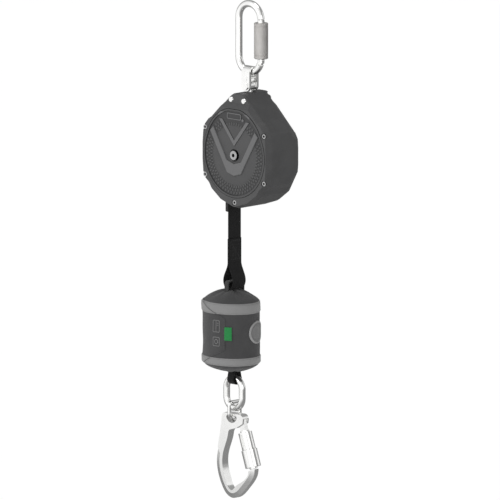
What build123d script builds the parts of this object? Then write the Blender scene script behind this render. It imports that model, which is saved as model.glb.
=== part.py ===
"""Self retracting lifeline: a webbing fall limiter with an energy absorber and a hook.

The frame has its origin at the anchor point, the inside top of the oval carabiner.
+Z is up, the front cover faces -Y, and the lifeline hangs down to the hook. Millimetres.
"""
from build123d import *
from math import asin, atan2, cos, degrees, radians, sin, sqrt
import os

os.makedirs("parts", exist_ok=True)

# ---------------------------------------------------------------- driving dimensions
ROD_R = 5.0                     # carabiner rod
OVAL_HALF_WIDTH = 22.0          # rod centre to the middle of the oval
OVAL_TOP = ROD_R                # rod centre above the anchor point
OVAL_BOTTOM = -93.0             # rod centre under the swivel clevis
OVAL_TOP_ARC = OVAL_TOP - OVAL_HALF_WIDTH
OVAL_BOTTOM_ARC = OVAL_BOTTOM + OVAL_HALF_WIDTH
GATE_PIVOT_Z = -74.0
GATE_PIN_R = 1.5
PIN_PLAY = 0.06                 # radial play of a turning part on its pin
GATE_TOP_Z = -15.6
GATE_R = 4.8
SLEEVE_TOP_Z = -20.0
SLEEVE_BOTTOM_Z = -71.0
SLEEVE_R = 10.0

CLEVIS_R = 9.3                  # outside of the arch over the rod
CLEVIS_GAP = 5.5                # half the gap between the plates
CLEVIS_HALF_WIDTH = 8.0
SPACER_PIN_Z = -101.0
CLEVIS_PIN_Z = -112.0
CLEVIS_PIN_R = 3.5
STUD_R = 4.2
STUD_EYE_R = 6.5

HUB_Z = -208.0                  # drum axis
FACE_Y = 32.0                   # front and rear faces from the parting plane
BEVEL_Y = 22.0                  # where the bevel around each face starts
BEVEL_IN = 3.0                  # how far the bevel runs in
REAR_BEVEL_Y = 27.0
REAR_BEVEL_IN = 1.5
CORNER_R = 9.0                  # rounding of the outline's corners
SHOULDER_ANGLE = 46.4           # the shoulders face this far up from +X
SHOULDER_OUT = 70.4             # from the hub to a shoulder's face
REAR_CORNERS = (30.0, 150.0, 210.0, 330.0)
REAR_CORNER_OUT = 71.0          # from the hub to a rear corner's face, where the trim starts
REAR_CORNER_IN = 6.0            # and how much nearer it is at the rear face
REAR_PANEL_R = 57.0
NECK_FACE_Y = 24.8              # the neck is thinner than the body
WALL = 2.6
CAVITY_Y = 26.0                 # depth of the drum room in each shell
HOUSING_HALF = [
    (9.0, 87.0), (16.5, 81.5), (47.0, 52.5), (52.5, 49.5), (63.5, 37.0), (65.6, 12.0),
    (65.6, -12.0), (63.5, -37.0), (52.0, -46.0), (47.0, -54.0), (28.0, -68.0), (2.0, -76.5),
]
NECK_HALF = [(30.0, 40.0), (16.4, 72.0), (16.4, 76.5), (12.0, 80.4), (7.5, 83.0)]
SCREW_CIRCLE = 67.6
SCREW_ANGLES = (30.0, 150.0, 210.0, 330.0, 270.0)
SCREW_HEAD_R = 3.4
SCREW_SEAT_Y = 29.5
BOSS_R = 6.0
RIVET_X = 12.5
RIVET_Z = 77.8
RIVET_R = 2.2
PANEL_R = 60.3
PANEL_SEAT_Y = 29.0
PANEL_FLOOR_Y = 31.0
PLAQUE = (0.0, 55.5)            # the blank plaque's middle, from the hub
PLAQUE_WIDE = 28.0
PLAQUE_TALL = 9.0
PLAQUE_RIVET = (17.0, 51.6)
PANEL_RIM_Y = 32.4
PANEL_GAP = 0.7
HUB_RECESS_R = 9.0
HUB_SCREW_R = 7.2

WEB_X = -31.0                   # the lifeline's line of travel
WEB_W = 25.0
WEB_T = 1.5
MOUTH_Z = HUB_Z - 66.0
STOP_BOTTOM = -295.0
DOUBLED_TOP = -334.0
LOOP_TOP = -368.0
LOOP_CENTRE = -394.0
LOOP_HALF_X = 10.5
LOOP_HALF_Z = 13.0
LOOP_T = 1.8

AXLE_R = 5.0
CORE_R = 13.0
ARBOR_R = 9.0
COIL_R = 29.9
FLANGE_R = 40.0
FLANGE_IN = 13.0                # inside faces of the drum flanges
FLANGE_T = 2.0
PLATE_T = 2.5
FRONT_PLATE_Y = 18.0            # inside face of the front frame plate
REAR_PLATE_Y = 15.5
PLATE_R = 54.0
RATCHET_R = 42.0
RATCHET_IN = 35.5
RATCHET_TOOTH = 33.0
RATCHET_TEETH = 12
PAWL_PIVOT_R = 21.0
PAWL_PIN_R = 1.5
GUIDE_PIN_R = 1.5
SPRING_CASE_R = 42.0
SPRING_TURNS = 8

PIVOT_PACK_Z = -398.0           # the pack swings in the lifeline's loop
PACK_TOP = -406.0
PACK_BOTTOM = -525.0
PACK_X = WEB_X - 3.0             # the pouch hangs a little off the strap's line
PACK_Y = -3.0
PACK_A = 43.0
PACK_B = 38.0
BAND_TOP = (-437.0, -422.0)
BAND_BOTTOM = (-511.0, -500.0)
BAND_T = 0.8
FLAP_EDGE = -65.0               # azimuths of the flap's free edge and sewn edge
FLAP_ROOT = -212.0
CORE_BOX = (50.0, 40.0, 92.0)

RING_ROD_R = 4.75
RING_HALF = 15.5
RING_TOP = -534.15              # rod centres
RING_BOTTOM = -577.65
LINK_ROD_R = 2.8
LINK_CORNER_R = 3.6             # the straight top bar turns into the sides by this
LINK_HALF = 10.35
LINK_TOP = -568.8
LINK_BOTTOM = -594.35

HOOK_T = 12.0
HOOK_BEVEL = 7.0                # across the face
HOOK_BEVEL_DEPTH = 2.0
HOOK_EYE_R = 11.0
HOOK_EYE_Z = -587.4
HOOK_EYE_TOP = -589.0
HOOK_GATE_X = WEB_X + 14.6
HOOK_GATE_Z = -591.6
HOOK_GATE_TILT = 19.2           # from straight down, towards the nose
HOOK_GATE_LENGTH = 72.4
HOOK_PIN_R = 2.2
TONGUE_R = 5.0
TONGUE_HALF = 3.2
SLOT_HALF = 3.5


def mirrored(points):
    """A half outline completed by its mirror image about X = 0."""
    return points + [(-x, z) for x, z in reversed(points)]


def side_plane(side, depth):
    """A plane about the hub at a depth from the parting plane; side -1 is the front, 1 the rear."""
    return Plane(origin=(0, side * depth, HUB_Z), x_dir=(-side, 0, 0), z_dir=(0, side, 0))


def about_hub(radius, angle):
    """A point on a circle about the hub."""
    return (radius * cos(radians(angle)), radius * sin(radians(angle)))


def housing_outline():
    """The housing's outline about the hub."""
    with BuildSketch(Plane.XY) as outline:
        with BuildLine():
            Polyline(*mirrored(HOUSING_HALF), close=True)
        make_face()
        fillet(outline.vertices(), radius=CORNER_R)
    return outline.sketch


def rear_panel_outline(grow=0.0):
    """The rear cover panel is a plain disc."""
    with BuildSketch(Plane.XY) as outline:
        Circle(REAR_PANEL_R + grow)
    return outline.sketch


def panel_outline(grow=0.0):
    """A disc with a flat-topped crown, the outline of the front cover panel."""
    crown = 65.5 + grow
    flank = 54.5 + grow
    with BuildSketch(Plane.XY) as outline:
        with BuildLine():
            Line((-12.0, crown), (12.0, crown))
            ThreePointArc((12.0, crown), (35.0 + grow, 54.0 + grow), (flank, 26.5))
            ThreePointArc((flank, 26.5), (0.0, -PANEL_R - grow), (-flank, 26.5))
            ThreePointArc((-flank, 26.5), (-35.0 - grow, 54.0 + grow), (-12.0, crown))
        make_face()
    return outline.sketch


# ---------------------------------------------------------------- anchor carabiner
def make_carabiner_body():
    """An oval of round rod, open on the right where the gate closes it."""
    nose_angle = degrees(asin((GATE_TOP_Z + 0.8 - OVAL_TOP_ARC) / OVAL_HALF_WIDTH))
    heel_angle = 337.0
    with BuildPart() as carabiner_body:
        with BuildLine(Plane.XZ) as oval:
            CenterArc((0, OVAL_TOP_ARC), OVAL_HALF_WIDTH, nose_angle, 180.0 - nose_angle)
            Line((-OVAL_HALF_WIDTH, OVAL_TOP_ARC), (-OVAL_HALF_WIDTH, OVAL_BOTTOM_ARC))
            CenterArc((0, OVAL_BOTTOM_ARC), OVAL_HALF_WIDTH, 180.0, heel_angle - 180.0)
        with BuildSketch(Plane(origin=oval.line @ 0, z_dir=oval.line % 0)):
            Circle(ROD_R)
        sweep(path=oval.line)
        with BuildSketch(Plane.XZ) as tongue:
            with Locations((OVAL_HALF_WIDTH, GATE_PIVOT_Z)):
                Circle(4.0)
            with Locations((19.4, -81.5)):
                Circle(3.4)
            make_hull(tongue.edges())
            with Locations((OVAL_HALF_WIDTH, GATE_PIVOT_Z)):
                Circle(GATE_PIN_R, mode=Mode.SUBTRACT)
        extrude(amount=2.0, both=True)
    carabiner_body.part.label = "carabiner_body"
    export_step(carabiner_body.part, "parts/carabiner_body.step")


def make_carabiner_gate_pin():
    """The rivet that the carabiner gate turns on."""
    with BuildPart() as carabiner_gate_pin:
        with BuildSketch(Plane.XZ):
            with Locations((OVAL_HALF_WIDTH, GATE_PIVOT_Z)):
                Circle(GATE_PIN_R)
        extrude(amount=5.0, both=True)
    carabiner_gate_pin.part.label = "carabiner_gate_pin"
    export_step(carabiner_gate_pin.part, "parts/carabiner_gate_pin.step")


def make_carabiner_gate():
    """A rod that closes the oval, forked over the tongue at its lower end."""
    with BuildPart() as carabiner_gate:
        with BuildSketch(Plane.XY.offset(GATE_TOP_Z)):
            with Locations((OVAL_HALF_WIDTH, 0)):
                Circle(GATE_R)
        extrude(amount=GATE_PIVOT_Z - GATE_R - GATE_TOP_Z)
        with BuildSketch(Plane.XZ):
            with Locations((OVAL_HALF_WIDTH, GATE_PIVOT_Z)):
                Circle(GATE_R)
            with Locations((OVAL_HALF_WIDTH, (GATE_PIVOT_Z + GATE_TOP_Z) / 2)):
                Rectangle(2 * GATE_R, GATE_TOP_Z - GATE_PIVOT_Z)
        extrude(amount=GATE_R, both=True, mode=Mode.INTERSECT)
        with Locations((OVAL_HALF_WIDTH, 0, GATE_PIVOT_Z)):
            Box(3 * GATE_R, 4.6, 10.6, mode=Mode.SUBTRACT)
        with BuildSketch(Plane.XZ):
            with Locations((OVAL_HALF_WIDTH, GATE_PIVOT_Z)):
                Circle(GATE_PIN_R + PIN_PLAY)
        extrude(amount=GATE_R, both=True, mode=Mode.SUBTRACT)
    carabiner_gate.part.label = "carabiner_gate"
    export_step(carabiner_gate.part, "parts/carabiner_gate.step")


def make_carabiner_sleeve():
    """The twist-lock sleeve around the gate, grooved near both ends."""
    with BuildPart() as carabiner_sleeve:
        with BuildSketch(Plane.XY.offset(SLEEVE_BOTTOM_Z)):
            with Locations((OVAL_HALF_WIDTH, 0)):
                Circle(SLEEVE_R)
                Circle(GATE_R + 0.3, mode=Mode.SUBTRACT)
        extrude(amount=SLEEVE_TOP_Z - SLEEVE_BOTTOM_Z)
        rims = carabiner_sleeve.edges().filter_by(GeomType.CIRCLE)
        chamfer(rims.filter_by(lambda rim: rim.radius > SLEEVE_R - 1), length=0.8)
        for groove_z in (SLEEVE_BOTTOM_Z + 5.0, SLEEVE_TOP_Z - 5.0):
            with BuildSketch(Plane.XY.offset(groove_z)):
                with Locations((OVAL_HALF_WIDTH, 0)):
                    Circle(SLEEVE_R + 1)
                    Circle(SLEEVE_R - 0.6, mode=Mode.SUBTRACT)
            extrude(amount=1.2, both=False, mode=Mode.SUBTRACT)
    carabiner_sleeve.part.label = "carabiner_sleeve"
    export_step(carabiner_sleeve.part, "parts/carabiner_sleeve.step")


# ---------------------------------------------------------------- swivel
def make_swivel_clevis():
    """An inverted U over the carabiner's rod, with a saddle that clears it through its swing."""
    saddle_r = ROD_R + 0.15
    inside_r = OVAL_HALF_WIDTH - saddle_r
    side = OVAL_BOTTOM_ARC - sqrt(inside_r ** 2 - 81.0)
    with BuildPart() as swivel_clevis:
        with BuildSketch(Plane.YZ) as bow:
            with Locations((0, OVAL_BOTTOM)):
                Circle(CLEVIS_R)
            with Locations((0, (OVAL_BOTTOM + CLEVIS_PIN_Z - CLEVIS_HALF_WIDTH) / 2)):
                Rectangle(2 * CLEVIS_R, OVAL_BOTTOM - CLEVIS_PIN_Z + CLEVIS_HALF_WIDTH)
                Rectangle(2 * CLEVIS_GAP, OVAL_BOTTOM - CLEVIS_PIN_Z + CLEVIS_HALF_WIDTH, mode=Mode.SUBTRACT)
        extrude(amount=CLEVIS_HALF_WIDTH, both=True)
        with BuildSketch(Plane.XZ):
            with Locations((0, CLEVIS_PIN_Z)):
                Circle(CLEVIS_HALF_WIDTH)
            with Locations((0, (CLEVIS_PIN_Z + OVAL_BOTTOM + CLEVIS_R) / 2)):
                Rectangle(2 * CLEVIS_HALF_WIDTH, OVAL_BOTTOM + CLEVIS_R - CLEVIS_PIN_Z)
        extrude(amount=CLEVIS_R, both=True, mode=Mode.INTERSECT)
        with BuildSketch(Plane.XZ):
            with BuildLine():
                Polyline((9, side), (9, OVAL_BOTTOM), (-9, OVAL_BOTTOM), (-9, side))
                ThreePointArc((-9, side), (0, OVAL_BOTTOM + saddle_r), (9, side))
            make_face()
        revolve(axis=Axis((0, 0, OVAL_BOTTOM), (1, 0, 0)), mode=Mode.SUBTRACT)
        with BuildSketch(Plane.XZ):
            with Locations((0, CLEVIS_PIN_Z)):
                Circle(CLEVIS_PIN_R)
            with Locations((0, SPACER_PIN_Z)):
                Circle(1.9)
        extrude(amount=CLEVIS_R, both=True, mode=Mode.SUBTRACT)
    swivel_clevis.part.label = "swivel_clevis"
    export_step(swivel_clevis.part, "parts/swivel_clevis.step")


def make_clevis_spacer_pin():
    """A small riveted pin that keeps the clevis on the rod."""
    with BuildPart() as clevis_spacer_pin:
        with BuildSketch(Plane.XZ):
            with Locations((0, SPACER_PIN_Z)):
                Circle(1.9)
        extrude(amount=CLEVIS_R, both=True)
        for side in (-1, 1):
            with BuildSketch(Plane.XZ.offset(side * CLEVIS_R)):
                with Locations((0, SPACER_PIN_Z)):
                    Circle(3.0)
            extrude(amount=side * 0.7)
    clevis_spacer_pin.part.label = "clevis_spacer_pin"
    export_step(clevis_spacer_pin.part, "parts/clevis_spacer_pin.step")


def make_clevis_pin():
    """The headed pin that carries the swivel stud."""
    with BuildPart() as clevis_pin:
        with BuildSketch(Plane.XZ):
            with Locations((0, CLEVIS_PIN_Z)):
                Circle(CLEVIS_PIN_R)
        extrude(amount=CLEVIS_R, both=True)
        for side, head_r, head_t in ((1, 5.3, 2.0), (-1, 4.6, 1.2)):
            with BuildSketch(Plane.XZ.offset(side * CLEVIS_R)):
                with Locations((0, CLEVIS_PIN_Z)):
                    Circle(head_r)
            extrude(amount=side * head_t)
    clevis_pin.part.label = "clevis_pin"
    export_step(clevis_pin.part, "parts/clevis_pin.step")


def make_swivel_stud():
    """A stud with an eye on the clevis pin, free to turn in the housing's block."""
    with BuildPart() as swivel_stud:
        with BuildSketch(Plane.XY.offset(-152.0)):
            Circle(STUD_R)
        extrude(amount=152.0 + CLEVIS_PIN_Z)
        with BuildSketch(Plane.XZ):
            with Locations((0, CLEVIS_PIN_Z)):
                Circle(STUD_EYE_R)
        extrude(amount=CLEVIS_GAP - 0.4, both=True)
        with BuildSketch(Plane.XZ):
            with Locations((0, CLEVIS_PIN_Z)):
                Circle(CLEVIS_PIN_R + PIN_PLAY)
        extrude(amount=CLEVIS_GAP, both=True, mode=Mode.SUBTRACT)
    swivel_stud.part.label = "swivel_stud"
    export_step(swivel_stud.part, "parts/swivel_stud.step")


def make_thrust_washer():
    """The washer that takes the housing's load on the stud nut."""
    with BuildPart() as thrust_washer:
        with BuildSketch(Plane.XY.offset(-146.2)):
            Circle(8.5)
            Circle(STUD_R, mode=Mode.SUBTRACT)
        extrude(amount=1.9)
    thrust_washer.part.label = "thrust_washer"
    export_step(thrust_washer.part, "parts/thrust_washer.step")


def make_stud_nut():
    """The hexagon nut on the stud's lower end."""
    with BuildPart() as stud_nut:
        with BuildSketch(Plane.XY.offset(-152.0)):
            RegularPolygon(7.5, 6)
            Circle(STUD_R, mode=Mode.SUBTRACT)
        extrude(amount=5.8)
    stud_nut.part.label = "stud_nut"
    export_step(stud_nut.part, "parts/stud_nut.step")


# ---------------------------------------------------------------- housing shells and covers
def screw_points():
    """The five case screws, on a circle about the hub."""
    return [about_hub(SCREW_CIRCLE, angle) for angle in SCREW_ANGLES]


def shell_blank(side):
    """One half of the housing, before its screw holes."""
    outline = housing_outline()
    pocket = panel_outline(PANEL_GAP) if side < 0 else rear_panel_outline(PANEL_GAP)
    bevel_y = BEVEL_Y if side < 0 else REAR_BEVEL_Y
    bevel_in = BEVEL_IN if side < 0 else REAR_BEVEL_IN
    face = side * FACE_Y
    neck = side * NECK_FACE_Y
    with BuildPart() as blank:
        with BuildSketch(side_plane(side, 0)):
            add(outline)
        extrude(amount=bevel_y)
        with BuildSketch(side_plane(side, bevel_y)):
            add(outline)
        extrude(amount=FACE_Y - bevel_y, taper=degrees(atan2(bevel_in, FACE_Y - bevel_y)))
        with BuildSketch(Plane.YZ):
            with BuildLine():
                Polyline((face, HUB_Z + 67), (neck, HUB_Z + 73.5), (neck, HUB_Z + 90),
                         (2 * face, HUB_Z + 90), (2 * face, HUB_Z + 67), close=True)
            make_face()
        extrude(amount=70.0, both=True, mode=Mode.SUBTRACT)
        with BuildSketch(side_plane(side, 0)):
            add(outline)
            offset(amount=-WALL)
            with Locations(*screw_points()):
                Circle(BOSS_R, mode=Mode.SUBTRACT)
        extrude(amount=BEVEL_Y, mode=Mode.SUBTRACT)
        with BuildSketch(side_plane(side, BEVEL_Y)):
            Circle(56.0)
        extrude(amount=CAVITY_Y - BEVEL_Y, mode=Mode.SUBTRACT)
        with BuildSketch(side_plane(side, PANEL_SEAT_Y)):
            add(pocket)
        extrude(amount=FACE_Y, mode=Mode.SUBTRACT)
        with BuildSketch(side_plane(side, 0)):
            Circle(AXLE_R)
            with Locations((RIVET_X, RIVET_Z), (-RIVET_X, RIVET_Z)):
                Circle(RIVET_R)
        extrude(amount=FACE_Y, mode=Mode.SUBTRACT)
        with Locations((0, 0, HUB_Z + 86)):
            Cylinder(5.2, 14.0, mode=Mode.SUBTRACT)
        with Locations((WEB_X - 2.0, 0, MOUTH_Z)):
            Box(10.4, WEB_W + 3.4, 34.0, mode=Mode.SUBTRACT)
    return blank.part


def make_front_shell():
    """The front half: screw heads sit in round pockets at its corners."""
    blank = shell_blank(-1)
    with BuildPart() as front_shell:
        add(blank)
        with BuildSketch(side_plane(-1, SCREW_SEAT_Y)):
            with Locations(*screw_points()):
                Circle(SCREW_HEAD_R + 0.9)
        extrude(amount=FACE_Y, mode=Mode.SUBTRACT)
        with BuildSketch(side_plane(-1, 0)):
            with Locations(*screw_points()):
                Circle(2.3)
        extrude(amount=FACE_Y, mode=Mode.SUBTRACT)
    front_shell.part.label = "front_shell"
    export_step(front_shell.part, "parts/front_shell.step")


def spoke_plane(azimuth):
    """A plane through the drum axis: X out from the hub at an angle up from +X, Y to the rear."""
    out = (cos(radians(azimuth)), 0, sin(radians(azimuth)))
    return Plane(origin=(0, 0, HUB_Z), x_dir=out, z_dir=(-out[2], 0, out[0]))


def make_rear_shell():
    """The rear half: wide chamfers along its shoulders, and bosses for the screw threads."""
    blank = shell_blank(1)
    with BuildPart() as rear_shell:
        add(blank)
        for side, azimuth in ((1, SHOULDER_ANGLE), (-1, 180.0 - SHOULDER_ANGLE)):
            with BuildSketch(spoke_plane(azimuth).offset(side * 15.5)):
                with BuildLine():
                    Polyline((SHOULDER_OUT, 20.5), (SHOULDER_OUT + 8, 20.5), (SHOULDER_OUT + 8, 36.0),
                             (SHOULDER_OUT - 10.1, 36.0), close=True)
                make_face()
            extrude(amount=35.5, both=True, mode=Mode.SUBTRACT)
        for azimuth in REAR_CORNERS:
            with BuildSketch(spoke_plane(azimuth)):
                with BuildLine():
                    Polyline((REAR_CORNER_OUT, 18.0), (REAR_CORNER_OUT + 8, 18.0),
                             (REAR_CORNER_OUT + 8, 36.0), (REAR_CORNER_OUT - REAR_CORNER_IN, 36.0),
                             close=True)
                make_face()
            extrude(amount=20.0, both=True, mode=Mode.SUBTRACT)
        with BuildSketch(side_plane(1, 0)):
            with Locations(*screw_points()):
                Circle(2.0)
        extrude(amount=14.0, mode=Mode.SUBTRACT)
    rear_shell.part.label = "rear_shell"
    export_step(rear_shell.part, "parts/rear_shell.step")


def panel_plate(side):
    """A cover plate with a raised rim and a round recess for the hub screw."""
    outline = panel_outline() if side < 0 else rear_panel_outline()
    with BuildPart() as plate:
        with BuildSketch(side_plane(side, PANEL_SEAT_Y)):
            add(outline)
            Circle(HUB_RECESS_R, mode=Mode.SUBTRACT)
        extrude(amount=PANEL_FLOOR_Y - PANEL_SEAT_Y)
        with BuildSketch(side_plane(side, PANEL_FLOOR_Y)):
            add(outline)
            offset(amount=-2.6, mode=Mode.SUBTRACT)
        extrude(amount=PANEL_RIM_Y - PANEL_FLOOR_Y)
    return plate.part


def make_front_panel():
    """The front cover panel: a wide chevron rib under a narrow one, and a blank plaque."""
    chevron = [(-48.0, 31.0), (-14.0, -26.0), (0.0, -30.0), (14.0, -26.0), (48.0, 31.0),
               (41.0, 38.3), (14.0, -7.5), (0.0, -11.7), (-14.0, -7.5), (-41.0, 38.3)]
    narrow = [(-29.8, 49.8), (0.0, 13.2), (29.8, 49.8), (23.5, 49.8), (0.0, 21.3), (-23.5, 49.8)]
    plate = panel_plate(-1)
    with BuildPart() as front_panel:
        add(plate)
        with BuildSketch(side_plane(-1, PANEL_FLOOR_Y)):
            with BuildLine():
                Polyline(*chevron, close=True)
            make_face()
        extrude(amount=1.6, taper=30.0)
        with BuildSketch(side_plane(-1, PANEL_FLOOR_Y)):
            with BuildLine():
                Polyline(*narrow, close=True)
            make_face()
            with Locations(PLAQUE):
                RectangleRounded(PLAQUE_WIDE, PLAQUE_TALL, 2.4)
                RectangleRounded(PLAQUE_WIDE - 2.6, PLAQUE_TALL - 2.6, 1.4, mode=Mode.SUBTRACT)
            with Locations(PLAQUE_RIVET):
                Circle(2.1)
        extrude(amount=0.9)
        with BuildSketch(side_plane(-1, PANEL_FLOOR_Y)):
            with Locations(PLAQUE):
                RectangleRounded(PLAQUE_WIDE - 2.2, PLAQUE_TALL - 2.2, 1.4)
        extrude(amount=0.4)
    front_panel.part.label = "front_panel"
    export_step(front_panel.part, "parts/front_panel.step")


def make_rear_panel():
    """The rear cover panel: a blank raised field with short ribs above and below."""
    plate = panel_plate(1)
    with BuildPart() as rear_panel:
        add(plate)
        with BuildSketch(side_plane(1, PANEL_FLOOR_Y)):
            with Locations((0, 32.0), (0, -32.0)):
                RectangleRounded(64.0, 26.0, 4.0)
            with Locations(*[(x, 0) for x in (-44, -36, -28, -20, 20, 28, 36, 44)]):
                SlotOverall(24.0, 3.0, rotation=90)
        extrude(amount=1.0)
    rear_panel.part.label = "rear_panel"
    export_step(rear_panel.part, "parts/rear_panel.step")


def make_housing_screws():
    """Five socket-head screws, from the front shell into the rear bosses."""
    with BuildPart() as housing_screws:
        for point in screw_points():
            with BuildSketch(side_plane(-1, SCREW_SEAT_Y)):
                with Locations(point):
                    Circle(SCREW_HEAD_R)
                    RegularPolygon(1.9, 6, mode=Mode.SUBTRACT)
            extrude(amount=1.6)
            with BuildSketch(side_plane(-1, -12.0)):
                with Locations(point):
                    Circle(2.0)
            extrude(amount=SCREW_SEAT_Y + 12.0)
    housing_screws.part.label = "housing_screws"
    export_step(housing_screws.part, "parts/housing_screws.step")


def make_frame_rivets():
    """Two rivets through the neck that tie the swivel block, frame plates and shells."""
    head_t = 1.6
    with BuildPart() as frame_rivets:
        for x in (-RIVET_X, RIVET_X):
            with BuildSketch(side_plane(-1, -NECK_FACE_Y)):
                with Locations((x, RIVET_Z)):
                    Circle(RIVET_R)
            extrude(amount=2 * NECK_FACE_Y)
            for side in (-1, 1):
                with BuildSketch(side_plane(side, NECK_FACE_Y)):
                    with Locations((x, RIVET_Z)):
                        Circle(4.1)
                extrude(amount=head_t, taper=25.0)
    frame_rivets.part.label = "frame_rivets"
    export_step(frame_rivets.part, "parts/frame_rivets.step")


# ---------------------------------------------------------------- frame inside the housing
def frame_plate_outline():
    """A disc with a neck up to the rivets, and the holes for rivets and spacers."""
    with BuildSketch(Plane.XY) as outline:
        Circle(PLATE_R)
        with BuildLine():
            Polyline(*mirrored(NECK_HALF), close=True)
        make_face()
        with Locations((RIVET_X, RIVET_Z), (-RIVET_X, RIVET_Z)):
            Circle(RIVET_R, mode=Mode.SUBTRACT)
        with Locations(*spacer_points()):
            Circle(2.0, mode=Mode.SUBTRACT)
        with Locations(*roller_points()):
            Circle(GUIDE_PIN_R, mode=Mode.SUBTRACT)
    return outline.sketch


def spacer_points():
    """The spacers between the frame plates."""
    return [about_hub(48.5, angle) for angle in (20.0, 160.0, 290.0)]


def roller_points():
    """The two rollers either side of the webbing, above the mouth."""
    gap = WEB_T / 2 + 3.0 + 0.4
    return [(WEB_X - gap, -34.0), (WEB_X + gap, -37.0)]


def make_frame_plate_front():
    """The front frame plate, which carries the ratchet ring."""
    outline = frame_plate_outline()
    with BuildPart() as frame_plate_front:
        with BuildSketch(side_plane(-1, FRONT_PLATE_Y)):
            add(outline)
            Circle(AXLE_R, mode=Mode.SUBTRACT)
        extrude(amount=PLATE_T)
    frame_plate_front.part.label = "frame_plate_front"
    export_step(frame_plate_front.part, "parts/frame_plate_front.step")


def make_frame_plate_rear():
    """The rear frame plate, with a large hole for the spring arbor."""
    outline = frame_plate_outline()
    with BuildPart() as frame_plate_rear:
        with BuildSketch(side_plane(-1, -REAR_PLATE_Y - PLATE_T)):
            add(outline)
            Circle(ARBOR_R + 0.6, mode=Mode.SUBTRACT)
        extrude(amount=PLATE_T)
    frame_plate_rear.part.label = "frame_plate_rear"
    export_step(frame_plate_rear.part, "parts/frame_plate_rear.step")


def make_swivel_block():
    """The steel block in the neck that the stud hangs in."""
    depth = FRONT_PLATE_Y + REAR_PLATE_Y
    with BuildPart() as swivel_block:
        with BuildSketch(side_plane(-1, -REAR_PLATE_Y)):
            with BuildLine():
                Polyline(*mirrored([(16.4, 64.0)] + NECK_HALF[2:]), close=True)
            make_face()
        extrude(amount=depth)
        with BuildSketch(Plane.XY.offset(-150.0)):
            Circle(STUD_R + PIN_PLAY)
        extrude(amount=40.0, mode=Mode.SUBTRACT)
        with BuildSketch(side_plane(-1, -REAR_PLATE_Y)):
            with Locations((RIVET_X, RIVET_Z), (-RIVET_X, RIVET_Z)):
                Circle(RIVET_R)
        extrude(amount=depth, mode=Mode.SUBTRACT)
    swivel_block.part.label = "swivel_block"
    export_step(swivel_block.part, "parts/swivel_block.step")


def make_frame_spacers():
    """Three shouldered spacers that hold the frame plates apart."""
    with BuildPart() as frame_spacers:
        for point in spacer_points():
            with BuildSketch(side_plane(-1, -REAR_PLATE_Y)):
                with Locations(point):
                    Circle(3.6)
            extrude(amount=FRONT_PLATE_Y + REAR_PLATE_Y)
            with BuildSketch(side_plane(-1, -REAR_PLATE_Y - PLATE_T)):
                with Locations(point):
                    Circle(2.0)
            extrude(amount=FRONT_PLATE_Y + REAR_PLATE_Y + 2 * PLATE_T)
    frame_spacers.part.label = "frame_spacers"
    export_step(frame_spacers.part, "parts/frame_spacers.step")


def make_guide_pins():
    """The pins that the guide rollers turn on."""
    with BuildPart() as guide_pins:
        for point in roller_points():
            with BuildSketch(side_plane(-1, -REAR_PLATE_Y - PLATE_T)):
                with Locations(point):
                    Circle(GUIDE_PIN_R)
            extrude(amount=FRONT_PLATE_Y + REAR_PLATE_Y + 2 * PLATE_T)
    guide_pins.part.label = "guide_pins"
    export_step(guide_pins.part, "parts/guide_pins.step")


def make_guide_roller(index, label):
    """One webbing roller on its pin."""
    with BuildPart() as guide_roller:
        with BuildSketch(side_plane(-1, -14.8)):
            with Locations(roller_points()[index]):
                Circle(3.0)
                Circle(GUIDE_PIN_R + PIN_PLAY, mode=Mode.SUBTRACT)
        extrude(amount=29.6)
    guide_roller.part.label = label
    export_step(guide_roller.part, f"parts/{label}.step")


def make_webbing_mouth():
    """The plastic throat that lines the slot where the webbing leaves."""
    with BuildPart() as webbing_mouth:
        with Locations((WEB_X - 2.0, 0, MOUTH_Z + 4.0)):
            Box(10.0, WEB_W + 3.0, 14.0)
            Box(7.0, WEB_W + 1.2, 15.0, mode=Mode.SUBTRACT)
    webbing_mouth.part.label = "webbing_mouth"
    export_step(webbing_mouth.part, "parts/webbing_mouth.step")


def make_drum_axle():
    """The fixed axle across the housing."""
    with BuildPart() as drum_axle:
        with BuildSketch(side_plane(-1, -PANEL_SEAT_Y)):
            Circle(AXLE_R)
        extrude(amount=2 * PANEL_SEAT_Y)
        for side in (-1, 1):
            with BuildSketch(side_plane(side, PANEL_SEAT_Y - 12.0)):
                Circle(2.5)
            extrude(amount=12.0, mode=Mode.SUBTRACT)
    drum_axle.part.label = "drum_axle"
    export_step(drum_axle.part, "parts/drum_axle.step")


def make_hub_screw(side, label):
    """The ring-headed screw that closes one end of the axle."""
    with BuildPart() as hub_screw:
        with BuildSketch(side_plane(side, PANEL_SEAT_Y)):
            Circle(HUB_SCREW_R)
        extrude(amount=4.6)
        chamfer(hub_screw.edges().group_by(Axis.Y)[0 if side < 0 else -1], length=0.9)
        with BuildSketch(side_plane(side, PANEL_SEAT_Y - 10.0)):
            Circle(2.5)
        extrude(amount=10.0)
        with BuildSketch(side_plane(side, PANEL_SEAT_Y + 1.0)):
            RegularPolygon(2.9, 6)
        extrude(amount=5.0, mode=Mode.SUBTRACT)
    hub_screw.part.label = label
    export_step(hub_screw.part, f"parts/{label}.step")


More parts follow.
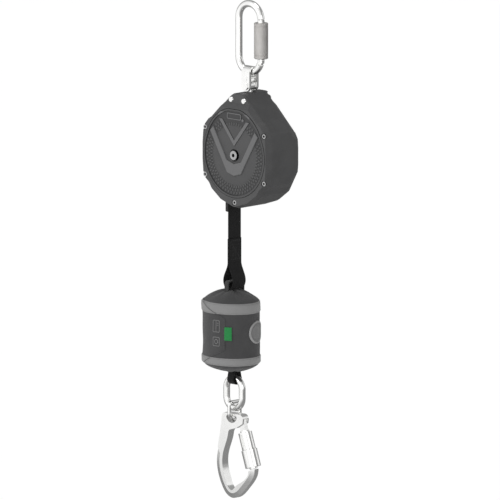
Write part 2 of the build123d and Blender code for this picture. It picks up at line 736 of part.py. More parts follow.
def make_ratchet_ring():
    """The fixed ring of inward teeth that stops the pawls."""
    pitch = 360.0 / RATCHET_TEETH
    with BuildPart() as ratchet_ring:
        with BuildSketch(side_plane(-1, FRONT_PLATE_Y - 2.6)):
            Circle(RATCHET_R)
            Circle(RATCHET_IN, mode=Mode.SUBTRACT)
            for tooth in range(RATCHET_TEETH):
                start = tooth * pitch
                with BuildLine():
                    Polyline(about_hub(RATCHET_IN + 1, start), about_hub(RATCHET_TOOTH, start),
                             about_hub(RATCHET_IN + 1, start + 0.5 * pitch), close=True)
                make_face()
        extrude(amount=2.6)
    ratchet_ring.part.label = "ratchet_ring"
    export_step(ratchet_ring.part, "parts/ratchet_ring.step")


def make_spring_case():
    """The cup that holds the power spring behind the rear frame plate."""
    base = REAR_PLATE_Y + PLATE_T
    with BuildPart() as spring_case:
        with BuildSketch(side_plane(1, base)):
            Circle(SPRING_CASE_R)
        extrude(amount=CAVITY_Y - 0.2 - base)
        with BuildSketch(side_plane(1, base)):
            Circle(SPRING_CASE_R - 1.5)
        extrude(amount=CAVITY_Y - 1.4 - base, mode=Mode.SUBTRACT)
        with BuildSketch(side_plane(1, base)):
            Circle(AXLE_R)
        extrude(amount=CAVITY_Y, mode=Mode.SUBTRACT)
    spring_case.part.label = "spring_case"
    export_step(spring_case.part, "parts/spring_case.step")


def make_power_spring():
    """A flat spiral spring, as half turns about two centres, from the arbor to the case."""
    inner_r = ARBOR_R + 1.2
    pitch = (SPRING_CASE_R - 2.4 - inner_r) / SPRING_TURNS
    strip = 0.9
    base = REAR_PLATE_Y + PLATE_T + 0.5
    with BuildPart() as power_spring:
        with BuildSketch(side_plane(1, base)):
            for turn in range(SPRING_TURNS):
                near = inner_r + turn * pitch
                for centre_x, radius, start in ((0.0, near, 0.0), (pitch / 2, near + pitch / 2, 180.0)):
                    with BuildLine():
                        outer = CenterArc((centre_x, 0), radius + strip, start, 180.0)
                        inner = CenterArc((centre_x, 0), radius, start, 180.0)
                        Line(outer @ 0, inner @ 0)
                        Line(outer @ 1, inner @ 1)
                    make_face()
        extrude(amount=5.6)
    power_spring.part.label = "power_spring"
    export_step(power_spring.part, "parts/power_spring.step")


# ---------------------------------------------------------------- drum
def make_drum_core():
    """The drum's hub, with the spring arbor on its rear end."""
    with BuildPart() as drum_core:
        with BuildSketch(side_plane(-1, -FLANGE_IN)):
            Circle(CORE_R)
        extrude(amount=2 * FLANGE_IN)
        with BuildSketch(side_plane(-1, -24.4)):
            Circle(ARBOR_R)
        extrude(amount=24.4 + 17.4)
        with BuildSketch(side_plane(-1, -24.4)):
            Circle(AXLE_R + 2.0)
        extrude(amount=24.4 + 17.4, mode=Mode.SUBTRACT)
    drum_core.part.label = "drum_core"
    export_step(drum_core.part, "parts/drum_core.step")


def make_drum_bush():
    """The plain bearing between the drum and the fixed axle."""
    with BuildPart() as drum_bush:
        with BuildSketch(side_plane(-1, -24.4)):
            Circle(AXLE_R + 2.0)
            Circle(AXLE_R + PIN_PLAY, mode=Mode.SUBTRACT)
        extrude(amount=24.4 + 17.4)
    drum_bush.part.label = "drum_bush"
    export_step(drum_bush.part, "parts/drum_bush.step")


def make_drum_flange_front():
    """The front flange, with holes for the pawl pins."""
    with BuildPart() as drum_flange_front:
        with BuildSketch(side_plane(-1, FLANGE_IN)):
            Circle(FLANGE_R)
            Circle(ARBOR_R, mode=Mode.SUBTRACT)
            with Locations(*pawl_points()):
                Circle(PAWL_PIN_R, mode=Mode.SUBTRACT)
        extrude(amount=FLANGE_T)
    drum_flange_front.part.label = "drum_flange_front"
    export_step(drum_flange_front.part, "parts/drum_flange_front.step")


def make_drum_flange_rear():
    """The rear flange, lightened by six holes."""
    with BuildPart() as drum_flange_rear:
        with BuildSketch(side_plane(1, FLANGE_IN)):
            Circle(FLANGE_R)
            Circle(ARBOR_R, mode=Mode.SUBTRACT)
            with PolarLocations(34.0, 6):
                Circle(3.0, mode=Mode.SUBTRACT)
        extrude(amount=FLANGE_T)
    drum_flange_rear.part.label = "drum_flange_rear"
    export_step(drum_flange_rear.part, "parts/drum_flange_rear.step")


def make_webbing_coil():
    """The wound webbing, as the outer shape of its turns on the drum."""
    with BuildPart() as webbing_coil:
        with BuildSketch(side_plane(-1, -WEB_W / 2)):
            Circle(COIL_R)
            Circle(CORE_R, mode=Mode.SUBTRACT)
        extrude(amount=WEB_W)
    webbing_coil.part.label = "webbing_coil"
    export_step(webbing_coil.part, "parts/webbing_coil.step")


def pawl_points():
    """The pivots of the two pawls on the front flange."""
    return [about_hub(PAWL_PIVOT_R, 0.0), about_hub(PAWL_PIVOT_R, 180.0)]


def make_pawl_pins():
    """The pawl pivots, riveted in the front flange."""
    with BuildPart() as pawl_pins:
        for point in pawl_points():
            with BuildSketch(side_plane(-1, FLANGE_IN)):
                with Locations(point):
                    Circle(PAWL_PIN_R)
            extrude(amount=4.7)
    pawl_pins.part.label = "pawl_pins"
    export_step(pawl_pins.part, "parts/pawl_pins.step")


def make_pawl(turn, label):
    """One centrifugal pawl: a curved arm whose tip stays inside the teeth until it is thrown out."""
    arm = [about_hub(17.0, 2.0), about_hub(24.8, -6.0), about_hub(28.0, 20.0), about_hub(31.8, 46.0),
           about_hub(30.0, 58.0), about_hub(25.0, 52.0), about_hub(20.5, 26.0)]
    with BuildPart() as pawl:
        with BuildSketch(Plane(origin=(0, -15.3, HUB_Z), x_dir=(cos(radians(turn)), 0, sin(radians(turn))),
                               z_dir=(0, -1, 0))):
            with BuildLine():
                Polyline(*arm, close=True)
            make_face()
            with Locations(about_hub(PAWL_PIVOT_R, 0.0)):
                Circle(4.0)
                Circle(PAWL_PIN_R + PIN_PLAY, mode=Mode.SUBTRACT)
        extrude(amount=2.2)
    pawl.part.label = label
    export_step(pawl.part, f"parts/{label}.step")


# ---------------------------------------------------------------- lifeline
def make_lifeline_webbing():
    """The single webbing from the drum's tangent down to the sewn end."""
    with BuildPart() as lifeline_webbing:
        with Locations((WEB_X, 0, (HUB_Z + DOUBLED_TOP) / 2)):
            Box(WEB_T, WEB_W, HUB_Z - DOUBLED_TOP)
    lifeline_webbing.part.label = "lifeline_webbing"
    export_step(lifeline_webbing.part, "parts/lifeline_webbing.step")


def make_webbing_stop():
    """The folded and sewn bump that stops the line at the mouth."""
    top = MOUTH_Z - 3.6
    with BuildPart() as webbing_stop:
        with Locations((WEB_X - WEB_T / 2 - 2.3, 0, (top + STOP_BOTTOM) / 2)):
            Box(4.6, WEB_W, top - STOP_BOTTOM)
        fillet(webbing_stop.edges().filter_by(Axis.Y).group_by(Axis.X)[0], radius=2.0)
    webbing_stop.part.label = "webbing_stop"
    export_step(webbing_stop.part, "parts/webbing_stop.step")


def make_lifeline_tail():
    """The doubled, sewn stretch above the loop."""
    with BuildPart() as lifeline_tail:
        with Locations((WEB_X, 0, (DOUBLED_TOP + LOOP_TOP) / 2)):
            Box(2 * LOOP_T, WEB_W, DOUBLED_TOP - LOOP_TOP)
    lifeline_tail.part.label = "lifeline_tail"
    export_step(lifeline_tail.part, "parts/lifeline_tail.step")


def loop_face(shrink):
    """A tear-drop from the sewn end round the loop's bottom."""
    half_x = LOOP_HALF_X - shrink
    half_z = LOOP_HALF_Z - shrink
    neck = max(LOOP_T - shrink, 0.1)
    top = LOOP_TOP - 1.5 * shrink
    with BuildSketch(Plane.XY) as face:
        with BuildLine():
            Polyline((WEB_X - neck, top), (WEB_X + neck, top), (WEB_X + half_x, LOOP_CENTRE),
                     (WEB_X - half_x, LOOP_CENTRE), close=True)
        make_face()
        with Locations((WEB_X, LOOP_CENTRE)):
            Ellipse(half_x, half_z)
    return face.sketch


def make_lifeline_loop():
    """The loop of webbing that the energy absorber hangs from."""
    outside = loop_face(0.0)
    inside = loop_face(LOOP_T)
    with BuildPart() as lifeline_loop:
        with BuildSketch(Plane.XZ):
            add(outside)
        extrude(amount=WEB_W / 2, both=True)
        with BuildSketch(Plane.XZ):
            add(inside)
        extrude(amount=WEB_W, both=True, mode=Mode.SUBTRACT)
    lifeline_loop.part.label = "lifeline_loop"
    export_step(lifeline_loop.part, "parts/lifeline_loop.step")


# ---------------------------------------------------------------- energy absorber pack
def make_pack_cover():
    """The fabric pouch: an oval drum with rounded ends, hollow for the absorber."""
    cavity = (CORE_BOX[0] + 2, CORE_BOX[1] + 2, CORE_BOX[2] + 2)
    with BuildPart() as pack_cover:
        with BuildSketch(Plane.XY.offset(PACK_BOTTOM)):
            with Locations((PACK_X, PACK_Y)):
                Ellipse(PACK_A, PACK_B)
        extrude(amount=PACK_TOP - PACK_BOTTOM)
        fillet(pack_cover.edges().group_by(Axis.Z)[-1], radius=11.0)
        fillet(pack_cover.edges().group_by(Axis.Z)[0], radius=9.0)
        with Locations((WEB_X, 0, (PACK_TOP + PACK_BOTTOM) / 2 - 1)):
            Box(*cavity, mode=Mode.SUBTRACT)
        with BuildSketch(Plane.XZ):
            with Locations((WEB_X, PIVOT_PACK_Z)):
                Circle(11.0)
        extrude(amount=14.0, both=True, mode=Mode.SUBTRACT)
        with Locations((WEB_X, 0, PACK_TOP)):
            Box(8.4, 34.0, 28.0, mode=Mode.SUBTRACT)
        with Locations((WEB_X, 0, PACK_BOTTOM)):
            Box(13.4, 9.0, 26.0, mode=Mode.SUBTRACT)
    pack_cover.part.label = "pack_cover"
    export_step(pack_cover.part, "parts/pack_cover.step")


def make_absorber_core():
    """The folded tear webbing inside the pouch."""
    with BuildPart() as absorber_core:
        with Locations((WEB_X, 0, (PACK_TOP + PACK_BOTTOM) / 2 - 1)):
            Box(*CORE_BOX)
        fillet(absorber_core.edges().filter_by(Axis.Z), radius=6.0)
    absorber_core.part.label = "absorber_core"
    export_step(absorber_core.part, "parts/absorber_core.step")


def make_pack_top_loop():
    """The absorber's strap, threaded through the lifeline's loop."""
    top = -401.4
    foot = (PACK_TOP + PACK_BOTTOM) / 2 - 1 + CORE_BOX[2] / 2
    with BuildPart() as pack_top_loop:
        with BuildSketch(Plane.YZ):
            with Locations((0, (top + foot) / 2)):
                RectangleRounded(33.0, top - foot, 3.0)
                RectangleRounded(29.0, top - foot - 4.0, 1.5, mode=Mode.SUBTRACT)
        extrude(amount=4.0, both=True)
        pack_top_loop.part = pack_top_loop.part.moved(Location((WEB_X, 0, 0)))
    pack_top_loop.part.label = "pack_top_loop"
    export_step(pack_top_loop.part, "parts/pack_top_loop.step")


def make_pack_bottom_loop():
    """The absorber's lower strap, round the top of the oval ring."""
    top = (PACK_TOP + PACK_BOTTOM) / 2 - 1 - CORE_BOX[2] / 2
    with BuildPart() as pack_bottom_loop:
        with BuildSketch(Plane.YZ):
            with Locations((0, RING_TOP)):
                Circle(RING_ROD_R + 4.6)
            with Locations((0, (top + RING_TOP) / 2)):
                Rectangle(8.4, top - RING_TOP)
            with Locations((0, RING_TOP)):
                Circle(RING_ROD_R + 2.4, mode=Mode.SUBTRACT)
        extrude(amount=6.4, both=True)
        pack_bottom_loop.part = pack_bottom_loop.part.moved(Location((WEB_X, 0, 0)))
    pack_bottom_loop.part.label = "pack_bottom_loop"
    export_step(pack_bottom_loop.part, "parts/pack_bottom_loop.step")


def make_pack_band(span, label):
    """One reflective band sewn round the pouch."""
    low, high = span
    with BuildPart() as pack_band:
        with BuildSketch(Plane.XY.offset(low)):
            with Locations((PACK_X, PACK_Y)):
                Ellipse(PACK_A + BAND_T, PACK_B + BAND_T)
                Ellipse(PACK_A, PACK_B, mode=Mode.SUBTRACT)
        extrude(amount=high - low)
    pack_band.part.label = label
    export_step(pack_band.part, f"parts/{label}.step")


def flap_side(azimuth):
    """A point well outside the pouch at an azimuth about its middle."""
    turn = radians(azimuth)
    return (PACK_X + 90.0 * cos(turn), PACK_Y + 90.0 * sin(turn))


def make_pack_flap():
    """The closing flap, wrapped round the pouch between the bands."""
    low = BAND_BOTTOM[1]
    high = BAND_TOP[0]
    with BuildPart() as pack_flap:
        with BuildSketch(Plane.XY.offset(low)):
            with Locations((PACK_X, PACK_Y)):
                Ellipse(PACK_A + BAND_T, PACK_B + BAND_T)
                Ellipse(PACK_A, PACK_B, mode=Mode.SUBTRACT)
        extrude(amount=high - low)
        with BuildSketch(Plane.XY.offset(low)):
            with BuildLine():
                Polyline((PACK_X, PACK_Y), flap_side(FLAP_EDGE), flap_side(-118.0),
                         flap_side(-165.0), flap_side(FLAP_ROOT), close=True)
            make_face()
        extrude(amount=high - low, mode=Mode.INTERSECT)
    pack_flap.part.label = "pack_flap"
    export_step(pack_flap.part, "parts/pack_flap.step")


def pack_surface_plane(azimuth, height):
    """A plane on the pouch's side, facing out at an azimuth about its middle."""
    turn = radians(azimuth)
    out = 1.0 / sqrt((cos(turn) / PACK_A) ** 2 + (sin(turn) / PACK_B) ** 2)
    return Plane(origin=(PACK_X + out * cos(turn), PACK_Y + out * sin(turn), height),
                 x_dir=(-sin(turn), cos(turn), 0), z_dir=(cos(turn), sin(turn), 0))


def make_label_tab():
    """A plain cloth tab sewn into the front of the pouch."""
    with BuildPart() as label_tab:
        with BuildSketch(pack_surface_plane(-55.0, -464.6).offset(0.5)):
            Rectangle(11.0, 19.0)
        extrude(amount=1.4)
    label_tab.part.label = "label_tab"
    export_step(label_tab.part, "parts/label_tab.step")


def make_round_patch():
    """A round blank patch on the side of the pouch."""
    with BuildPart() as round_patch:
        with BuildSketch(pack_surface_plane(10.7, -466.0).offset(0.4)):
            Circle(16.5)
        extrude(amount=1.2)
    round_patch.part.label = "round_patch"
    export_step(round_patch.part, "parts/round_patch.step")


# ---------------------------------------------------------------- ring, link and hook
def stadium_path(half, top, bottom):
    """A closed stadium of rod centres, drawn in the open line."""
    CenterArc((0, top - half), half, 0.0, 180.0)
    Line((-half, top - half), (-half, bottom + half))
    CenterArc((0, bottom + half), half, 180.0, 180.0)
    Line((half, bottom + half), (half, top - half))


def make_oval_ring():
    """The forged oval ring on the absorber's lower strap."""
    with BuildPart() as oval_ring:
        with BuildLine(Plane(origin=(WEB_X, 0, 0), x_dir=(1, 0, 0), z_dir=(0, -1, 0))) as ring_path:
            stadium_path(RING_HALF, RING_TOP, RING_BOTTOM)
        with BuildSketch(Plane(origin=ring_path.line @ 0, z_dir=ring_path.line % 0)):
            Circle(RING_ROD_R)
        sweep(path=ring_path.line)
    oval_ring.part.label = "oval_ring"
    export_step(oval_ring.part, "parts/oval_ring.step")


def make_hook_link():
    """The link between the ring and the hook's eye: a straight bar on top and a round bottom."""
    side_top = LINK_TOP - LINK_CORNER_R
    side_bottom = LINK_BOTTOM + LINK_HALF
    bar_end = LINK_HALF - LINK_CORNER_R
    with BuildPart() as hook_link:
        with BuildLine(Plane(origin=(WEB_X, 0, 0), x_dir=(0, 1, 0), z_dir=(1, 0, 0))) as link_path:
            Line((-bar_end, LINK_TOP), (bar_end, LINK_TOP))
            CenterArc((bar_end, side_top), LINK_CORNER_R, 90, -90)
            Line((LINK_HALF, side_top), (LINK_HALF, side_bottom))
            CenterArc((0, side_bottom), LINK_HALF, 0, -180)
            Line((-LINK_HALF, side_bottom), (-LINK_HALF, side_top))
            CenterArc((-bar_end, side_top), LINK_CORNER_R, 180, -90)
        with BuildSketch(Plane(origin=link_path.line @ 0, z_dir=link_path.line % 0)):
            Circle(LINK_ROD_R)
        sweep(path=link_path.line)
    hook_link.part.label = "hook_link"
    export_step(hook_link.part, "parts/hook_link.step")


def hook_blank():
    """The hook's flat outline with square edges."""
    with BuildPart() as blank:
        with BuildSketch(Plane.XZ):
            with BuildLine():
                Polyline((-50.2, -590.0), (-49.0, -586.2), (-46.0, -585.0), (-17.0, -584.6))
                ThreePointArc((-17.0, -584.6), (-10.6, -586.4), (-8.4, -591.6))
                Polyline((-8.4, -591.6), (-9.2, -597.0), (-21.0, -604.3), (-35.4, -608.6), (-37.6, -612.0))
                Spline((-37.6, -612.0), (-42.2, -628.0), (-48.4, -645.0), (-48.4, -665.5), (-43.2, -680.5),
                       (-37.4, -691.8), (-30.8, -695.0), (-23.4, -688.9), (-14.0, -682.8), (-4.0, -676.0),
                       (0.8, -670.4), (2.6, -663.2))
                Line((2.6, -663.2), (13.0, -659.6))
                Spline((13.0, -659.6), (10.4, -671.6), (2.6, -682.3), (-6.8, -692.3), (-16.6, -701.2),
                       (-31.0, -706.3), (-43.6, -701.2), (-51.8, -690.8), (-58.6, -676.2), (-62.2, -656.5),
                       (-58.6, -635.0), (-54.0, -613.5), (-50.2, -590.0))
            make_face()
        extrude(amount=HOOK_T / 2, both=True)
    return blank.part


def hook_shank(blank):
    """The blank's upper back, above the slanting line where the bevel runs out."""
    with BuildPart() as shank:
        with BuildSketch(Plane.XZ):
            with BuildLine():
                Polyline((-70.0, -618.0), (-52.0, -648.0), (-40.0, -648.0), (-40.0, -580.0),
                         (-70.0, -580.0), close=True)
            make_face()
        extrude(amount=HOOK_T / 2, both=True)
        add(blank, mode=Mode.INTERSECT)
    return shank.part


def make_hook_body():
    """The hook: a flat forging with an eye, a long back, a wide shallow bevel and an upturned nose."""
    blank = hook_blank()
    shank = hook_shank(blank)
    with BuildPart() as hook_body:
        add(blank)
        for side in (-1, 1):
            face = hook_body.faces().sort_by(Axis.Y)[0 if side < 0 else -1]
            back = face.edges().filter_by(lambda edge: edge.length > 150.0)[0]
            chamfer(back, length=HOOK_BEVEL, length2=HOOK_BEVEL_DEPTH, reference=face)
        add(shank)
        with BuildSketch(Plane.XZ) as eye:
            with Locations((WEB_X, HOOK_EYE_Z)):
                Circle(HOOK_EYE_R)
            with Locations((WEB_X, HOOK_EYE_TOP + HOOK_EYE_R)):
                Rectangle(3 * HOOK_EYE_R, 2 * HOOK_EYE_R, mode=Mode.SUBTRACT)
            fillet(eye.vertices(), radius=1.5)
        extrude(amount=HOOK_T, both=True, mode=Mode.SUBTRACT)
        with BuildSketch(Plane.YZ.offset(WEB_X - 9.5)):
            with Locations((0, HOOK_EYE_TOP + 2.4)):
                Rectangle(HOOK_T + 2, 6.0)
            with Locations((0, LINK_BOTTOM + LINK_HALF)):
                Circle(LINK_HALF - LINK_ROD_R - 0.45, mode=Mode.SUBTRACT)
        extrude(amount=19.0, mode=Mode.SUBTRACT)
        with BuildSketch(Plane.XZ):
            with Locations((HOOK_GATE_X, HOOK_GATE_Z)):
                Circle(TONGUE_R + 0.4)
            with BuildLine():
                Polyline((HOOK_GATE_X - 5.0, HOOK_GATE_Z - 2.0), (HOOK_GATE_X - 11.5, HOOK_GATE_Z - 22.0),
                         (HOOK_GATE_X + 14.0, HOOK_GATE_Z - 22.0),
                         (HOOK_GATE_X + 9.0, HOOK_GATE_Z + 2.0), close=True)
            make_face()
        extrude(amount=SLOT_HALF, both=True, mode=Mode.SUBTRACT)
        with BuildSketch(Plane.XZ):
            with Locations((HOOK_GATE_X, HOOK_GATE_Z)):
                Circle(HOOK_PIN_R)
        extrude(amount=HOOK_T, both=True, mode=Mode.SUBTRACT)
    hook_body.part.label = "hook_body"
    export_step(hook_body.part, "parts/hook_body.step")


def gate_plane(along):
    """A plane across the hook gate, a distance down its axis from the hinge."""
    tilt = radians(HOOK_GATE_TILT)
    down = (sin(tilt), 0, -cos(tilt))
    origin = (HOOK_GATE_X + along * down[0], 0, HOOK_GATE_Z + along * down[2])
    return Plane(origin=origin, x_dir=(0, 1, 0), z_dir=down)


def make_hook_gate_pin():
    """The rivet that the hook's gate turns on."""
    with BuildPart() as hook_gate_pin:
        with BuildSketch(Plane.XZ):
            with Locations((HOOK_GATE_X, HOOK_GATE_Z)):
                Circle(HOOK_PIN_R)
        extrude(amount=HOOK_T / 2, both=True)
    hook_gate_pin.part.label = "hook_gate_pin"
    export_step(hook_gate_pin.part, "parts/hook_gate_pin.step")


def make_hook_gate():
    """The gate: a tongue in the hook's slot, a collar and a rod down to the nose."""
    with BuildPart() as hook_gate:
        with BuildSketch(Plane.XZ):
            with Locations((HOOK_GATE_X, HOOK_GATE_Z)):
                Circle(TONGUE_R)
        extrude(amount=TONGUE_HALF, both=True)
        with BuildSketch(gate_plane(0.0)):
            Rectangle(2 * TONGUE_HALF, 2 * TONGUE_R)
        extrude(amount=17.0)
        with BuildSketch(gate_plane(17.0)):
            Circle(6.4)
        extrude(amount=2.2)
        with BuildSketch(gate_plane(19.0)):
            Circle(5.6)
        extrude(amount=HOOK_GATE_LENGTH - 19.0)
        with BuildSketch(Plane.XZ):
            with Locations((HOOK_GATE_X, HOOK_GATE_Z)):
                Circle(HOOK_PIN_R + PIN_PLAY)
        extrude(amount=HOOK_T, both=True, mode=Mode.SUBTRACT)
    hook_gate.part.label = "hook_gate"
    export_step(hook_gate.part, "parts/hook_gate.step")


def make_hook_sleeve_upper():
    """The upper lock sleeve, which turns on the gate; it has a long window."""
    with BuildPart() as hook_sleeve_upper:
        with BuildSketch(gate_plane(19.5)):
            Circle(9.75)
            Circle(5.9, mode=Mode.SUBTRACT)
        extrude(amount=24.8)
        with BuildSketch(gate_plane(23.0)):
            with Locations((-8.6, 0)):
                Rectangle(3.0, 4.6)
        extrude(amount=17.0, mode=Mode.SUBTRACT)
    hook_sleeve_upper.part.label = "hook_sleeve_upper"
    export_step(hook_sleeve_upper.part, "parts/hook_sleeve_upper.step")


def make_hook_sleeve_lower():
    """The lower lock sleeve, which lifts over the upper one to free the gate."""
    with BuildPart() as hook_sleeve_lower:
        with BuildSketch(gate_plane(44.7)):
            Circle(11.3)
            Circle(10.05, mode=Mode.SUBTRACT)
        extrude(amount=25.3)
        with BuildSketch(gate_plane(66.5)):
            Circle(11.3)
            Circle(5.9, mode=Mode.SUBTRACT)
        extrude(amount=3.5)
    hook_sleeve_lower.part.label = "hook_sleeve_lower"
    export_step(hook_sleeve_lower.part, "parts/hook_sleeve_lower.step")


def main():
    """Make every piece, from the anchor down to the hook."""
    make_carabiner_body()
    make_carabiner_gate_pin()
    make_carabiner_gate()
    make_carabiner_sleeve()
    make_swivel_clevis()
    make_clevis_spacer_pin()
    make_clevis_pin()
    make_swivel_stud()
    make_thrust_washer()
    make_stud_nut()
    make_front_shell()
    make_rear_shell()
    make_front_panel()
    make_rear_panel()
    make_housing_screws()
    make_frame_rivets()
    make_frame_plate_front()
    make_frame_plate_rear()
    make_swivel_block()
    make_frame_spacers()
    make_guide_pins()
    make_guide_roller(0, "guide_roller_outer")
    make_guide_roller(1, "guide_roller_inner")
    make_webbing_mouth()
    make_drum_axle()
    make_hub_screw(-1, "hub_screw_front")
    make_hub_screw(1, "hub_screw_rear")
    make_ratchet_ring()
    make_spring_case()
    make_power_spring()
    make_drum_core()
    make_drum_bush()
    make_drum_flange_front()
    make_drum_flange_rear()
    make_webbing_coil()
    make_pawl_pins()
    make_pawl(0.0, "pawl_right")
    make_pawl(180.0, "pawl_left")
    make_lifeline_webbing()
    make_webbing_stop()
    make_lifeline_tail()
    make_lifeline_loop()
    make_pack_cover()
    make_absorber_core()
    make_pack_top_loop()
    make_pack_bottom_loop()
    make_pack_band(BAND_TOP, "band_top")
    make_pack_band(BAND_BOTTOM, "band_bottom")
    make_pack_flap()
    make_label_tab()
    make_round_patch()
    make_oval_ring()
    make_hook_link()
    make_hook_body()
    make_hook_gate_pin()
    make_hook_gate()
    make_hook_sleeve_upper()
    make_hook_sleeve_lower()


main()
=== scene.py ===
"""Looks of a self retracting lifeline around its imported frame. Metres, +Z up, front cover on -Y."""
from math import cos, hypot, pi, radians, sin, sqrt

import bmesh
import bpy
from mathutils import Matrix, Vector
from mathutils.bvhtree import BVHTree


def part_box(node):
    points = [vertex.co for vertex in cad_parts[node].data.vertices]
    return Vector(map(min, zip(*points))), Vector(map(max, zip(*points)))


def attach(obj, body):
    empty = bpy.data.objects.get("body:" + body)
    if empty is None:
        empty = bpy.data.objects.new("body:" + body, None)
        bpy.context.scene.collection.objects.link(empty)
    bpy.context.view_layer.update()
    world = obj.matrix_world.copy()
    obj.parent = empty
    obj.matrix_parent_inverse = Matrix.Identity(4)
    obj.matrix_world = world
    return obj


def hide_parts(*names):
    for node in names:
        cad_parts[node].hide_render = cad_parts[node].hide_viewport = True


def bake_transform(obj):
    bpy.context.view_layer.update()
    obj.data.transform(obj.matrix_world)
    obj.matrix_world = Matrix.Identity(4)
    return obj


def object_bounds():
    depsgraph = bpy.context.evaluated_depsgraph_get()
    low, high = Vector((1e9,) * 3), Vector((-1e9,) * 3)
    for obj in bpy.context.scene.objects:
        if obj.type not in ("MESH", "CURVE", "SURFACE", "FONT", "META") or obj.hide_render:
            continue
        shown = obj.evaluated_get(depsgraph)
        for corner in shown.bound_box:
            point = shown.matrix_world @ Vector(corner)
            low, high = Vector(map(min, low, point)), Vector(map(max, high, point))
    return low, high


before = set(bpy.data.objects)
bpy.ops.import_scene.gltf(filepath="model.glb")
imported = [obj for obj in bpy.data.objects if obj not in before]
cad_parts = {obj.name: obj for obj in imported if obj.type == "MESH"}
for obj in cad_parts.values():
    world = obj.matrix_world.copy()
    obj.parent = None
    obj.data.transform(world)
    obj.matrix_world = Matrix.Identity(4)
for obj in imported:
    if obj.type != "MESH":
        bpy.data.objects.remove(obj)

START_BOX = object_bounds()

# ------------------------------------------------------------------ camera, light and floor
VIEW_AZIMUTH = radians(45.0)
VIEW_ELEVATION = radians(10.0)
VIEW_DISTANCE = 29.375
VIEW_AIM = Vector((0.0, 0.0, -0.3472))
ROOM_FRONT = (-0.05, -0.97, 0.20)       # the way to the room's bright side
FLOOR_LEVELS = (0.25, 1.1)
REFLECTOR_DROP = 0.25
DISC_RADIUS = 30.0
DISC_CORNERS = 64
FLOOR_DROP = 1.45                       # the payout is 1.3 m
FLOOR_WHITE = 1.06                      # as white as the room, so the floor's far edge never shows
ROOM_WALLS = ((0.14, 0.40), (0.36, 0.27), (0.52, 0.42), (0.64, 0.58), (0.74, 0.93))


def make_camera():
    """A long lens on the front right of the object, a little above it."""
    data = bpy.data.cameras.new("camera")
    data.lens = 1500.0
    data.sensor_width = 36.0
    data.clip_end = 100.0
    camera = bpy.data.objects.new("camera", data)
    way = Vector((cos(VIEW_ELEVATION) * sin(VIEW_AZIMUTH), -cos(VIEW_ELEVATION) * cos(VIEW_AZIMUTH),
                  sin(VIEW_ELEVATION)))
    camera.location = VIEW_AIM + way * VIEW_DISTANCE
    camera.rotation_euler = (-way).to_track_quat("-Z", "Y").to_euler()
    bpy.context.scene.collection.objects.link(camera)
    bpy.context.scene.camera = camera


def floor_glow(tree):
    """The floor's own brightness as other surfaces see it: white in front, grey behind and to the right."""
    coord = tree.nodes.new("ShaderNodeTexCoord")
    toward = tree.nodes.new("ShaderNodeVectorMath")
    toward.operation = "DOT_PRODUCT"
    toward.inputs[1].default_value = ROOM_FRONT
    tree.links.new(coord.outputs["Object"], toward.inputs[0])
    reach = tree.nodes.new("ShaderNodeMapRange")
    reach.inputs["From Min"].default_value = 0.1
    reach.inputs["From Max"].default_value = 1.3
    reach.inputs["To Min"].default_value = FLOOR_LEVELS[0]
    reach.inputs["To Max"].default_value = FLOOR_LEVELS[1]
    tree.links.new(toward.outputs["Value"], reach.inputs["Value"])
    glow = tree.nodes.new("ShaderNodeEmission")
    tree.links.new(reach.outputs["Result"], glow.inputs["Strength"])
    return glow.outputs["Emission"]


def area_light(name, place, size, energy, colour=(1.0, 1.0, 1.0)):
    """A square soft box that faces the middle of the object."""
    data = bpy.data.lights.new(name, "AREA")
    data.shape = "SQUARE"
    data.size = size
    data.energy = energy
    data.color = colour
    lamp = bpy.data.objects.new(name, data)
    lamp.location = place
    lamp.rotation_euler = (VIEW_AIM - Vector(place)).to_track_quat("-Z", "Y").to_euler()
    bpy.context.scene.collection.objects.link(lamp)
    return lamp


def make_world():
    """A white room: bright above and in front, greyer low down and to the right."""
    world = bpy.data.worlds.new("studio")
    bpy.context.scene.world = world
    world.use_nodes = True
    tree = world.node_tree
    for node in list(tree.nodes):
        tree.nodes.remove(node)
    out = tree.nodes.new("ShaderNodeOutputWorld")
    mix = tree.nodes.new("ShaderNodeMixShader")
    path = tree.nodes.new("ShaderNodeLightPath")
    seen = tree.nodes.new("ShaderNodeBackground")
    seen.inputs["Color"].default_value = (1.0, 1.0, 1.0, 1.0)
    room = tree.nodes.new("ShaderNodeBackground")
    coord = tree.nodes.new("ShaderNodeTexCoord")
    toward = tree.nodes.new("ShaderNodeVectorMath")
    toward.operation = "DOT_PRODUCT"
    toward.inputs[1].default_value = ROOM_FRONT
    tree.links.new(coord.outputs["Generated"], toward.inputs[0])
    lift = tree.nodes.new("ShaderNodeMath")
    lift.operation = "MULTIPLY_ADD"
    lift.inputs[1].default_value = 0.5
    lift.inputs[2].default_value = 0.5
    tree.links.new(toward.outputs["Value"], lift.inputs[0])
    walls = tree.nodes.new("ShaderNodeValToRGB")
    walls.color_ramp.elements[0].position = 0.0
    walls.color_ramp.elements[0].color = (0.42, 0.42, 0.42, 1.0)
    walls.color_ramp.elements[1].position = 1.0
    walls.color_ramp.elements[1].color = (1.0, 1.0, 1.0, 1.0)
    for place, level in ROOM_WALLS:
        stop = walls.color_ramp.elements.new(place)
        stop.color = (level, level, level, 1.0)
    tree.links.new(lift.outputs["Value"], walls.inputs["Fac"])
    tree.links.new(walls.outputs["Color"], room.inputs["Color"])
    room.inputs["Strength"].default_value = 1.0
    tree.links.new(path.outputs["Is Camera Ray"], mix.inputs["Fac"])
    tree.links.new(room.outputs["Background"], mix.inputs[1])
    tree.links.new(seen.outputs["Background"], mix.inputs[2])
    tree.links.new(mix.outputs["Shader"], out.inputs["Surface"])


